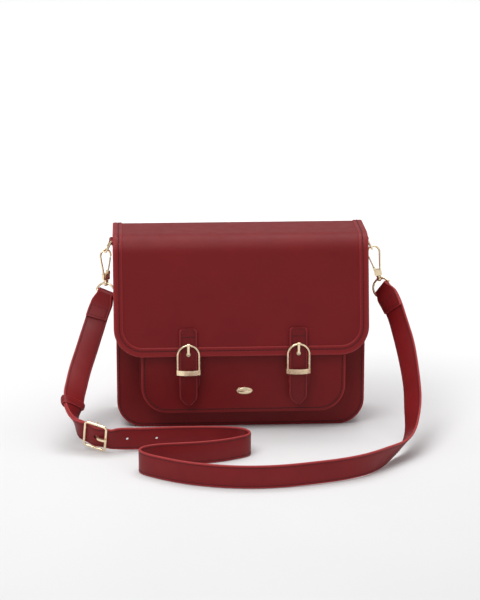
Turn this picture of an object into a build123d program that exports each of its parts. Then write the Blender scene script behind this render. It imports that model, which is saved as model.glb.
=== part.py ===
from build123d import *
import os
from math import cos, sin, tan, radians, sqrt
import numpy as np

os.makedirs("parts", exist_ok=True)

# ---------------------------------------------------------------- driving dimensions (mm)
BAG_W = 280.0          # width of the front and back panels
BAG_D = 80.0           # depth over the panels
FRONT_H = 203.0        # front panel height
BACK_H = 207.0         # back panel height
CORNER_R = 30.0        # bottom corner radius of the panels
LEATHER = 1.8          # panel leather
BOARD = 1.2            # stiffener board
GUSSET_X = 139.0       # outer face of the side gusset
GUSSET_T = 1.8
FLAP_HW = 142.5        # half width of the flap
FLAP_T = 2.4           # flap thickness (two plies)
CROWN_Z = 220.0        # top of the bag, outer face of the crown
SH_Y, SH_Z, SH_R = -22.0, 198.0, 22.0     # front shoulder: centre and outer radius
RR_Y, RR_Z, RR_R = 31.4, 209.0, 11.0      # rear shoulder
FLAP_SLOPE = radians(11.5)                # the front of the flap leans out over the pocket
FLAP_EDGE_Z = 89.4                        # lower edge of the flap
FLAP_CORNER_R = 32.0
BIND_W = 10.5          # edge binding width
BIND_T = 1.0           # edge binding thickness
POCKET_W, POCKET_X = 229.0, 2.0
POCKET_Z0, POCKET_Z1 = 22.0, 104.0
POCKET_Y = -60.0       # outer face of the pocket
POCKET_R = 30.0
CLOSURE_X = (-60.0, 63.0)
CLOSURE_W = 20.0
CLOSURE_T = 2.4
STRAP_W = 25.0
STRAP_T = 2.6
HOOK_Z = 197.0         # height of the hooks' top wires, the line the strap swings about
RING_X = 151.3         # the side rings' lowest wire
GAP = 0.15             # half the cut between two stretches of one folding leather

HALF = BAG_D / 2

# ---------------------------------------------------------------- main body


def save(part, name):
    part.label = name
    export_step(part, "parts/" + name + ".step")


with BuildPart() as front_panel:
    with BuildSketch(Plane.XZ.offset(HALF)) as s:
        with Locations((0, FRONT_H / 2)):
            Rectangle(BAG_W, FRONT_H)
        fillet(s.vertices().group_by(Axis.Z)[0], CORNER_R)
    extrude(amount=-LEATHER)
save(front_panel.part, "front_panel")

with BuildPart() as back_panel:
    with BuildSketch(Plane.XZ.offset(-HALF)) as s:
        with Locations((0, BACK_H / 2)):
            Rectangle(BAG_W, BACK_H)
        fillet(s.vertices().group_by(Axis.Z)[0], CORNER_R)
    extrude(amount=LEATHER)
save(back_panel.part, "back_panel")

with BuildPart() as front_stiffener:
    with BuildSketch(Plane.XZ.offset(HALF - LEATHER)) as s:
        with Locations((0, (5 + FRONT_H - 6) / 2)):
            Rectangle(BAG_W - 16, FRONT_H - 11)
        fillet(s.vertices().group_by(Axis.Z)[0], CORNER_R - 6)
    extrude(amount=-BOARD)
save(front_stiffener.part, "front_stiffener")

with BuildPart() as back_stiffener:
    with BuildSketch(Plane.XZ.offset(-(HALF - LEATHER))) as s:
        with Locations((0, (5 + BACK_H - 6) / 2)):
            Rectangle(BAG_W - 16, BACK_H - 11)
        fillet(s.vertices().group_by(Axis.Z)[0], CORNER_R - 6)
    extrude(amount=BOARD)
save(back_stiffener.part, "back_stiffener")

# side-and-base gusset: one U strip between the panels, its top edge rounded under the flap
TOP_PROFILE = ((-60, 230), (-60, 203.6), (-37, 203.6), (-30, 209.5), (-21, 214.2), (24, 214.2),
               (33, 211), (37, 207.2), (60, 207.2), (60, 230))
gusset_y = HALF - LEATHER
with BuildPart() as gusset:
    with BuildSketch(Plane.XZ.offset(gusset_y)) as s:
        with Locations((0, 110)):
            Rectangle(2 * GUSSET_X, 220)
        fillet(s.vertices().group_by(Axis.Z)[0], CORNER_R - 1)
    extrude(amount=-2 * gusset_y)
    with BuildSketch(Plane.XZ.offset(gusset_y)) as s2:
        with Locations((0, GUSSET_T + 115)):
            Rectangle(2 * (GUSSET_X - GUSSET_T), 230)
        fillet(s2.vertices().group_by(Axis.Z)[0], CORNER_R - 1 - GUSSET_T)
    extrude(amount=-2 * gusset_y, mode=Mode.SUBTRACT)
    with BuildSketch(Plane.YZ) as s3:
        with BuildLine():
            Polyline(*TOP_PROFILE, close=True)
        make_face()
    extrude(amount=160, both=True, mode=Mode.SUBTRACT)
save(gusset.part, "gusset")

with BuildPart() as base_board:
    with BuildSketch(Plane.XY.offset(GUSSET_T)):
        Rectangle(208, 2 * (HALF - LEATHER - BOARD) - 0.4)
    extrude(amount=2.0)
    fillet(base_board.edges().filter_by(Axis.Z), 4)
save(base_board.part, "base_board")

# lining: a thin open-topped bag against the stiffeners
lin_y = HALF - LEATHER - BOARD
LIN_T = 0.6
with BuildPart() as lining:
    with BuildSketch(Plane.XZ.offset(lin_y)) as s:
        with Locations((0, (3.9 + 203) / 2)):
            Rectangle(2 * (GUSSET_X - GUSSET_T - 0.1), 203 - 3.9)
        fillet(s.vertices().group_by(Axis.Z)[0], 26)
    extrude(amount=-2 * lin_y)
    with BuildSketch(Plane.XZ.offset(lin_y - LIN_T)) as s2:
        with Locations((0, (3.9 + LIN_T + 210) / 2)):
            Rectangle(2 * (GUSSET_X - GUSSET_T - 0.1 - LIN_T), 210 - 3.9 - LIN_T)
        fillet(s2.vertices().group_by(Axis.Z)[0], 26 - LIN_T)
    extrude(amount=-2 * (lin_y - LIN_T), mode=Mode.SUBTRACT)
save(lining.part, "lining")

with BuildPart() as slip_pocket:
    with BuildSketch(Plane.XZ.offset(-(lin_y - LIN_T))) as s:
        with Locations((0, 105)):
            Rectangle(180, 110)
        fillet(s.vertices().group_by(Axis.Z)[0], 8)
    extrude(amount=1.0)
save(slip_pocket.part, "slip_pocket")

# ---------------------------------------------------------------- front pocket
pk_t = 1.8
with BuildPart() as pocket_front:
    with BuildSketch(Plane.XZ.offset(-POCKET_Y)) as s:
        with Locations((POCKET_X, (POCKET_Z0 + POCKET_Z1) / 2)):
            Rectangle(POCKET_W, POCKET_Z1 - POCKET_Z0)
        fillet(s.vertices().group_by(Axis.Z)[0], POCKET_R)
    extrude(amount=-pk_t)
save(pocket_front.part, "pocket_front")

pg = 1.2   # how far the pocket gusset stands inside the pocket front's outline
with BuildPart() as pocket_gusset:
    with BuildSketch(Plane.XZ.offset(HALF)) as s:
        with Locations((POCKET_X, (POCKET_Z0 + pg + 100) / 2)):
            Rectangle(POCKET_W - 2 * pg, 100 - POCKET_Z0 - pg)
        fillet(s.vertices().group_by(Axis.Z)[0], POCKET_R - pg)
    extrude(amount=-POCKET_Y - pk_t - HALF)
    # flange sewn down on the front panel
    with BuildSketch(Plane.XZ.offset(HALF)) as f:
        with Locations((POCKET_X, (POCKET_Z0 - 2.4 + 100) / 2)):
            Rectangle(POCKET_W + 4.8, 100 - POCKET_Z0 + 2.4)
        fillet(f.vertices().group_by(Axis.Z)[0], POCKET_R + 2.4)
    extrude(amount=1.2)
    with BuildSketch(Plane.XZ.offset(HALF - 1)) as s2:
        with Locations((POCKET_X, (POCKET_Z0 + pg + 1.6 + 120) / 2)):
            Rectangle(POCKET_W - 2 * pg - 3.2, 120 - POCKET_Z0 - pg - 1.6)
        fillet(s2.vertices().group_by(Axis.Z)[0], POCKET_R - pg - 1.6)
    extrude(amount=40, mode=Mode.SUBTRACT)
save(pocket_gusset.part, "pocket_gusset")

# plain domed oval ornament
with BuildPart() as emblem_plate:
    with BuildSketch(Plane.XZ.offset(-POCKET_Y)) as s:
        with Locations((3.0, 47.0)):
            Ellipse(9, 4)
    extrude(amount=1.8)
    chamfer(emblem_plate.faces().sort_by(Axis.Y)[0].edges(), 0.8)
save(emblem_plate.part, "emblem_plate")

# ---------------------------------------------------------------- flap
co, si = cos(FLAP_SLOPE), sin(FLAP_SLOPE)


def arc_pt(cy, cz, r, deg):
    return (cy + r * cos(radians(deg)), cz + r * sin(radians(deg)))


def flap_line(off, z):
    """A point of the flap's sloping front, off outwards from its outer face, at height z."""
    ty, tz = arc_pt(SH_Y, SH_Z, SH_R + off, 180 - degrees_slope)
    k = (tz - z) / co
    return (ty - k * si, z)


degrees_slope = 11.5


def front_profile(off_in, off_out, z_end, start):
    """Outline of a sheet that goes over the front shoulder and down the sloping front."""
    a0, a1 = start, 180 - degrees_slope
    ro, ri = SH_R + off_out, SH_R + off_in
    lo, li = flap_line(off_out, z_end), flap_line(off_in, z_end)
    with BuildLine() as ln:
        ThreePointArc(arc_pt(SH_Y, SH_Z, ro, a0), arc_pt(SH_Y, SH_Z, ro, (a0 + a1) / 2), arc_pt(SH_Y, SH_Z, ro, a1))
        Line(arc_pt(SH_Y, SH_Z, ro, a1), lo)
        Line(lo, li)
        Line(li, arc_pt(SH_Y, SH_Z, ri, a1))
        ThreePointArc(arc_pt(SH_Y, SH_Z, ri, a1), arc_pt(SH_Y, SH_Z, ri, (a0 + a1) / 2), arc_pt(SH_Y, SH_Z, ri, a0))
        Line(arc_pt(SH_Y, SH_Z, ri, a0), arc_pt(SH_Y, SH_Z, ro, a0))
    return ln.line


def crown_profile(off_in, off_out, a_front, a_rear):
    """Outline of a sheet from the rear shoulder over the top to the front shoulder."""
    ro, ri = RR_R + off_out, RR_R + off_in
    fo, fi = SH_R + off_out, SH_R + off_in
    m, k = (a_rear + 90) / 2, (a_front + 90) / 2
    with BuildLine() as ln:
        ThreePointArc(arc_pt(RR_Y, RR_Z, ro, a_rear), arc_pt(RR_Y, RR_Z, ro, m), arc_pt(RR_Y, RR_Z, ro, 90))
        Line(arc_pt(RR_Y, RR_Z, ro, 90), arc_pt(SH_Y, SH_Z, fo, 90))
        ThreePointArc(arc_pt(SH_Y, SH_Z, fo, 90), arc_pt(SH_Y, SH_Z, fo, k), arc_pt(SH_Y, SH_Z, fo, a_front))
        Line(arc_pt(SH_Y, SH_Z, fo, a_front), arc_pt(SH_Y, SH_Z, fi, a_front))
        ThreePointArc(arc_pt(SH_Y, SH_Z, fi, a_front), arc_pt(SH_Y, SH_Z, fi, k), arc_pt(SH_Y, SH_Z, fi, 90))
        Line(arc_pt(SH_Y, SH_Z, fi, 90), arc_pt(RR_Y, RR_Z, ri, 90))
        ThreePointArc(arc_pt(RR_Y, RR_Z, ri, 90), arc_pt(RR_Y, RR_Z, ri, m), arc_pt(RR_Y, RR_Z, ri, a_rear))
        Line(arc_pt(RR_Y, RR_Z, ri, a_rear), arc_pt(RR_Y, RR_Z, ro, a_rear))
    return ln.line


FOLD_F = 135.0    # the flap's front fold, as an angle round the front shoulder
FOLD_R = 45.0     # the flap's rear fold, round the rear shoulder
dF = 0.5          # half the mitre at the front fold, degrees
dR = 0.9          # half the mitre at the rear fold, degrees


def outline_cut(inset):
    """The flap's outline seen from the front, open at the top."""
    with BuildSketch(Plane.XZ) as s:
        with Locations((0, (FLAP_EDGE_Z + inset + 300) / 2)):
            Rectangle(2 * (FLAP_HW - inset), 300 - FLAP_EDGE_Z - inset)
        fillet(s.vertices().group_by(Axis.Z)[0], FLAP_CORNER_R - inset)
    return s.sketch


with BuildPart() as flap_front_panel:
    with BuildSketch(Plane.YZ):
        add(front_profile(-FLAP_T, 0, FLAP_EDGE_Z, FOLD_F + dF))
        make_face()
    extrude(amount=FLAP_HW, both=True)
    with BuildSketch(Plane.XZ):
        add(outline_cut(0))
    extrude(amount=100, both=True, mode=Mode.INTERSECT)
save(flap_front_panel.part, "flap_front_panel")

with BuildPart() as flap_binding:
    with BuildSketch(Plane.YZ):
        add(front_profile(0, BIND_T, FLAP_EDGE_Z, FOLD_F + dF))
        make_face()
    extrude(amount=FLAP_HW, both=True)
    with BuildSketch(Plane.XZ):
        add(outline_cut(0))
        add(outline_cut(BIND_W), mode=Mode.SUBTRACT)
    extrude(amount=100, both=True, mode=Mode.INTERSECT)
save(flap_binding.part, "flap_binding")

with BuildPart() as flap_lining:
    with BuildSketch(Plane.YZ):
        add(front_profile(-FLAP_T - 0.6, -FLAP_T, FLAP_EDGE_Z + 4, FOLD_F + 4))
        make_face()
    extrude(amount=FLAP_HW - 4, both=True)
    with BuildSketch(Plane.XZ):
        add(outline_cut(4))
    extrude(amount=100, both=True, mode=Mode.INTERSECT)
save(flap_lining.part, "flap_lining")

with BuildPart() as flap_crown_panel:
    with BuildSketch(Plane.YZ):
        add(crown_profile(-FLAP_T, 0, FOLD_F - dF, FOLD_R + dR))
        make_face()
    extrude(amount=FLAP_HW, both=True)
save(flap_crown_panel.part, "flap_crown_panel")

for side, sx in (("left", -1), ("right", 1)):
    with BuildPart() as flap_crown_binding:
        with BuildSketch(Plane.YZ.offset(sx * (FLAP_HW - BIND_W / 2))):
            add(crown_profile(0, BIND_T, FOLD_F - dF, FOLD_R + dR))
            make_face()
        extrude(amount=BIND_W / 2, both=True)
    save(flap_crown_binding.part, "flap_crown_binding_" + side)

# rear leaf of the flap, sewn flat on the back panel, with the start of the rear fold
LEAF_Z0 = 150.0
with BuildPart() as flap_back_leaf:
    with BuildSketch(Plane.YZ):
        with BuildLine():
            ro, ri = RR_R, RR_R - FLAP_T
            a = FOLD_R - dR
            Line((RR_Y + ri, LEAF_Z0), (RR_Y + ro, LEAF_Z0))
            Line((RR_Y + ro, LEAF_Z0), (RR_Y + ro, RR_Z))
            ThreePointArc((RR_Y + ro, RR_Z), arc_pt(RR_Y, RR_Z, ro, a / 2), arc_pt(RR_Y, RR_Z, ro, a))
            Line(arc_pt(RR_Y, RR_Z, ro, a), arc_pt(RR_Y, RR_Z, ri, a))
            ThreePointArc(arc_pt(RR_Y, RR_Z, ri, a), arc_pt(RR_Y, RR_Z, ri, a / 2), (RR_Y + ri, RR_Z))
            Line((RR_Y + ri, RR_Z), (RR_Y + ri, LEAF_Z0))
        make_face()
    extrude(amount=FLAP_HW, both=True)
    with BuildSketch(Plane.XZ) as s:
        with Locations((0, (LEAF_Z0 + 300) / 2)):
            Rectangle(2 * FLAP_HW, 300 - LEAF_Z0)
        fillet(s.vertices().group_by(Axis.Z)[0], 14)
    extrude(amount=100, both=True, mode=Mode.INTERSECT)
save(flap_back_leaf.part, "flap_back_leaf")

# ---------------------------------------------------------------- closures
CLO_Z_TOP = 120.8      # top of the sewn tab
CLO_Z_HINGE = 111.0    # below the box stitch the strap is free
CLO_TIP_Z = 32.0
CLO_OFF = 1.3          # the strap lies over the binding


def closure_curve(off):
    """Points down the strap at a distance off from its back face."""
    p_top = flap_line(CLO_OFF + off, CLO_Z_TOP)
    p_h = flap_line(CLO_OFF + off, CLO_Z_HINGE)
    p_e = flap_line(CLO_OFF + off, 90.5)
    return p_top, p_h, p_e, (-66.9 - off, 76.0), (-66.0 - off, 56.0), (-64.6 - off, CLO_TIP_Z)


def closure_outline(cx, z0, z1, pointed):
    with BuildSketch(Plane.XZ) as s:
        with BuildLine():
            w = CLOSURE_W / 2
            if pointed:
                Line((cx - w, z1), (cx - w, z0 + 13))
                ThreePointArc((cx - w, z0 + 13), (cx - w * 0.72, z0 + 4.6), (cx - 2.2, z0 + 0.35))
                ThreePointArc((cx - 2.2, z0 + 0.35), (cx, z0), (cx + 2.2, z0 + 0.35))
                ThreePointArc((cx + 2.2, z0 + 0.35), (cx + w * 0.72, z0 + 4.6), (cx + w, z0 + 13))
                Line((cx + w, z0 + 13), (cx + w, z1))
                Line((cx + w, z1), (cx - w, z1))
            else:
                Polyline((cx - w, z0), (cx + w, z0), (cx + w, z1), (cx - w, z1), close=True)
        make_face()
        if not pointed:
            fillet(s.vertices().group_by(Axis.Z)[-1], 4)
    return s.sketch


HOLE_Z = 92.7
for side, cx in zip(("left", "right"), CLOSURE_X):
    f = closure_curve(CLOSURE_T)
    b = closure_curve(0)
    # sewn tab, fixed to the flap
    with BuildPart() as closure_tab:
        with BuildSketch(Plane.YZ.offset(cx)):
            with BuildLine():
                e0, e1 = flap_line(CLO_OFF, CLO_Z_HINGE + GAP), flap_line(CLO_OFF + CLOSURE_T, CLO_Z_HINGE + GAP)
                r0 = flap_line(0.0, CLO_Z_TOP)
                r1 = flap_line(0.0, CLO_Z_HINGE + GAP)
                Polyline(r0, f[0], e1, r1, close=True)
            make_face()
        extrude(amount=CLOSURE_W / 2, both=True)
        with BuildSketch(Plane.XZ):
            add(closure_outline(cx, CLO_Z_HINGE - 20, CLO_Z_TOP, False))
        extrude(amount=100, both=True, mode=Mode.INTERSECT)
    save(closure_tab.part, "closure_tab_" + side)

    # free strap with its pointed tip
    h0, h1 = flap_line(CLO_OFF, CLO_Z_HINGE - GAP), flap_line(CLO_OFF + CLOSURE_T, CLO_Z_HINGE - GAP)
    with BuildPart() as closure_strap:
        with BuildSketch(Plane.YZ.offset(cx)):
            with BuildLine():
                Polyline(h0, b[2], b[3], b[4], b[5], f[5], f[4], f[3], f[2], h1, close=True)
            make_face()
        extrude(amount=CLOSURE_W / 2, both=True)
        with BuildSketch(Plane.XZ):
            add(closure_outline(cx, CLO_TIP_Z, 130, True))
        extrude(amount=100, both=True, mode=Mode.INTERSECT)
        with BuildSketch(Plane.XZ.offset(40)):
            with Locations((cx, HOLE_Z)):
                Circle(2.0)
        extrude(amount=60, mode=Mode.SUBTRACT)
    save(closure_strap.part, "closure_strap_" + side)

    # metal eyelet in the strap's hole
    py = flap_line(CLO_OFF + CLOSURE_T, HOLE_Z)[0]
    with BuildPart() as eyelet:
        with BuildSketch(Plane(origin=(cx, py, HOLE_Z), x_dir=(1, 0, 0), z_dir=(0, -co, si))):
            Circle(2.3)
            Circle(1.5, mode=Mode.SUBTRACT)
        extrude(amount=0.5)
    save(eyelet.part, "eyelet_" + side)

    # snap stud under the strap and its socket on the pocket
    stud = Plane(origin=(cx, -66.63, 70.0), x_dir=(1, 0, 0), z_dir=(0, 0.99899, 0.04495))
    with BuildPart() as snap_stud:
        with BuildSketch(stud):
            Circle(4.6)
        extrude(amount=0.8)
        with BuildSketch(stud.offset(0.8)):
            Circle(2.0)
        extrude(amount=2.8)
    save(snap_stud.part, "snap_stud_" + side)

    with BuildPart() as snap_tab:
        with BuildSketch(Plane.XZ.offset(-POCKET_Y)) as s:
            with Locations((cx + 1.2, (52 + 88) / 2)):
                Rectangle(23, 36)
            chamfer(s.vertices().group_by(Axis.Z)[0], 4.5)
        extrude(amount=2.2)
    save(snap_tab.part, "snap_tab_" + side)

    with BuildPart() as snap_socket:
        with BuildSketch(Plane.XZ.offset(62.2)):
            with Locations((cx, 70.0)):
                Circle(5.5)
        extrude(amount=2.2)
        with BuildSketch(Plane.XZ.offset(62.6)):
            with Locations((cx, 70.0)):
                Circle(2.4)
        extrude(amount=5, mode=Mode.SUBTRACT)
    save(snap_socket.part, "snap_socket_" + side)

    # buckle: stirrup arch and bowed bottom bar
    ARCH_R = 12.0
    ay, az_ = -68.9, 70.0
    arch_plane = Plane(origin=(cx, ay, az_), x_dir=(1, 0, 0), z_dir=(0, -1, -0.03))
    with BuildPart() as buckle_frame:
        with BuildLine(arch_plane):
            leg0 = Line((-ARCH_R, 1), (-ARCH_R, 21.2))
            top = ThreePointArc((-ARCH_R, 21.2), (0, 33.2), (ARCH_R, 21.2))
            leg1 = Line((ARCH_R, 21.2), (ARCH_R, 1))
        with BuildSketch(Plane(origin=leg0 @ 0, z_dir=leg0 % 0)):
            Circle(1.1)
        sweep()
        with BuildSketch(Plane.XY.offset(69.0)):
            with BuildLine():
                ThreePointArc((cx - 13.2, -67.9), (cx, -71.5), (cx + 13.2, -67.9))
                Line((cx + 13.2, -67.9), (cx + 13.2, -69.7))
                ThreePointArc((cx + 13.2, -69.7), (cx, -73.3), (cx - 13.2, -69.7))
                Line((cx - 13.2, -69.7), (cx - 13.2, -67.9))
            make_face()
        extrude(amount=5.6)
    save(buckle_frame.part, "buckle_frame_" + side)

    # prong, hung on the top of the arch
    ty, tz = (arch_plane.origin + arch_plane.y_dir * 33.2).Y, (arch_plane.origin + arch_plane.y_dir * 33.2).Z
    with BuildPart() as prong:
        with BuildSketch(Plane.YZ.offset(cx)):
            with Locations((ty, tz)):
                Circle(2.1)
        extrude(amount=1.5, both=True)
        with BuildSketch(Plane.YZ.offset(cx)):
            with BuildLine():
                Polyline((ty - 1.3, tz - 0.6), (ty - 2.08, tz - 0.2), (ty - 2.15, HOLE_Z + 1.0), (ty - 1.4, HOLE_Z - 0.4), (ty - 0.75, HOLE_Z + 0.8), (ty - 0.9, tz - 1.7), close=True)
            make_face()
        extrude(amount=1.25, both=True)
        with BuildSketch(Plane.YZ.offset(cx)):
            with Locations((ty, tz)):
                Circle(1.26)
        extrude(amount=5, both=True, mode=Mode.SUBTRACT)
    save(prong.part, "prong_" + side)

# ---------------------------------------------------------------- side tabs and side rings
TAB_HW = 7.0           # half width of the leather tab that holds a side ring
RING_BAR_X, RING_BAR_Z = 144.2, 208.0
RING_WIRE = 1.1
RING_HW = 8.3
for side, sx in (("left", -1), ("right", 1)):
    with BuildPart() as side_tab:
        with BuildSketch(Plane.XZ.offset(TAB_HW)):
            with BuildLine():
                Polyline((sx * 139.0, 180.0), (sx * 141.0, 180.0), (sx * 141.0, 201.5), (sx * 147.0, 205.6),
                         (sx * 146.0, 210.6), (sx * 144.2, 211.5), (sx * 141.4, 210.2), (sx * 139.0, 205.0), close=True)
            make_face()
        extrude(amount=-2 * TAB_HW)
        with BuildSketch(Plane.XZ.offset(TAB_HW + 1)):
            with Locations((sx * RING_BAR_X, RING_BAR_Z)):
                Circle(RING_WIRE + 0.08)
        extrude(amount=-2 * TAB_HW - 2, mode=Mode.SUBTRACT)
    save(side_tab.part, "side_tab_" + side)

    with BuildPart() as side_rivet:
        with BuildSketch(Plane.YZ.offset(sx * 141.0)):
            with Locations((0, 190.0)):
                Circle(3.5)
        extrude(amount=sx * 1.3)
        chamfer(side_rivet.faces().sort_by(Axis.X)[-1 if sx > 0 else 0].edges(), 0.7)
    save(side_rivet.part, "side_rivet_" + side)

    dx, dz = (RING_X - RING_BAR_X) / 15.61, -13.9 / 15.61
    ring_plane = Plane(origin=(sx * RING_BAR_X, 0, RING_BAR_Z), x_dir=(0, 1, 0), z_dir=(dz, 0, -sx * dx))
    with BuildPart() as side_ring:
        with BuildLine(ring_plane):
            r0 = Line((RING_HW, 0), (RING_HW, 7.3))
            r1 = ThreePointArc((RING_HW, 7.3), (0, 7.3 + RING_HW), (-RING_HW, 7.3))
            r2 = Line((-RING_HW, 7.3), (-RING_HW, 0))
        with BuildSketch(Plane(origin=r0 @ 0, z_dir=r0 % 0)):
            Circle(RING_WIRE)
        sweep()
        with BuildSketch(Plane.XZ.offset(RING_HW)):
            with Locations((sx * RING_BAR_X, RING_BAR_Z)):
                Circle(RING_WIRE)
        extrude(amount=-2 * RING_HW)
        with Locations((sx * RING_BAR_X, RING_HW, RING_BAR_Z), (sx * RING_BAR_X, -RING_HW, RING_BAR_Z)):
            Sphere(RING_WIRE)
    save(side_ring.part, "side_ring_" + side)

# ---------------------------------------------------------------- snap hooks
HOOK_WIRE = 1.15
HOOK_R = 6.9
HOOK_C = 23.1          # centre of the hook's bend above the rivet
BORE_R, POST_R = 1.58, 1.50
TURN_L = radians(35)
HOOKS = {
    "left": (np.array([-151.0, 0, 167.0]), np.array([-cos(TURN_L), -sin(TURN_L), 0]), np.array([0, 0, 1.0])),
    "right": (np.array([158.1, 0, 167.8]), np.array([0.97545, 0, 0.22023]), np.array([-0.22023, 0, 0.97545])),
}
EYES = {}
for side, (rivet, ha, hb) in HOOKS.items():
    hn = np.cross(ha, hb)
    hp = Plane(origin=tuple(rivet), x_dir=tuple(ha), z_dir=tuple(hn))
    foot = (2.9, 1.5)
    reach = sqrt(foot[0] ** 2 + (HOOK_C - foot[1]) ** 2)
    ang = np.arctan2(foot[1] - HOOK_C, foot[0]) + np.arccos(HOOK_R / reach)
    tip = radians(187)
    with BuildPart() as hook_frame:
        with BuildLine(hp):
            w0 = Line(foot, (HOOK_R * cos(ang), HOOK_C + HOOK_R * sin(ang)))
            w1 = ThreePointArc((HOOK_R * cos(ang), HOOK_C + HOOK_R * sin(ang)), (0, HOOK_C + HOOK_R),
                               (HOOK_R * cos(tip), HOOK_C + HOOK_R * sin(tip)))
        with BuildSketch(Plane(origin=w0 @ 0, z_dir=w0 % 0)):
            Circle(HOOK_WIRE)
        sweep()
        with Locations(w1 @ 1):
            Sphere(HOOK_WIRE)
        # block with a swivel bore below and two ears for the gate
        with BuildSketch(hp.offset(-2.25)):
            with Locations((0, -1.05)):
                RectangleRounded(8.4, 6.9, 1.0)
        extrude(amount=4.5)
        for n0 in (-2.25, 1.0):
            with BuildSketch(hp.offset(n0)):
                with Locations((-3.2, 3.4)):
                    RectangleRounded(2.9, 4.6, 1.2)
            extrude(amount=1.25)
        with BuildSketch(hp.offset(-2.0)):
            with Locations((-3.3, 4.3)):
                Circle(0.55)
        extrude(amount=4.0)
        with BuildSketch(hp.offset(-3)):
            Circle(1.93)
        extrude(amount=6, mode=Mode.SUBTRACT)
        with BuildSketch(Plane(origin=tuple(rivet - 5.0 * hb), x_dir=tuple(ha), z_dir=tuple(hb))):
            Circle(BORE_R)
        extrude(amount=2.9, mode=Mode.SUBTRACT)
    save(hook_frame.part, "hook_frame_" + side)

    with BuildPart() as hook_rivet:
        with BuildSketch(hp.offset(-2.5)):
            Circle(1.9)
        extrude(amount=5.0)
        with BuildSketch(hp.offset(2.27)):
            Circle(2.7)
        extrude(amount=0.75)
        with BuildSketch(hp.offset(-2.27)):
            Circle(2.7)
        extrude(amount=-0.75)
    save(hook_rivet.part, "hook_rivet_" + side)

    with BuildPart() as gate:
        with BuildSketch(hp.offset(-0.9)):
            with Locations((-3.3, 4.3)):
                Circle(1.45)
        extrude(amount=1.8)
        with BuildLine(hp):
            g0 = Line((-3.4, 5.0), (-6.55, 20.0))
        with BuildSketch(Plane(origin=g0 @ 0, z_dir=g0 % 0)):
            Circle(0.85)
        sweep()
        with Locations(g0 @ 1):
            Sphere(0.85)
        with BuildSketch(hp.offset(-2)):
            with Locations((-3.3, 4.3)):
                Circle(0.62)
        extrude(amount=4, mode=Mode.SUBTRACT)
    save(gate.part, "gate_" + side)

    # swivel eye under the hook
    eye = rivet - 8.8 * hb
    EYES[side] = eye

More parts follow.
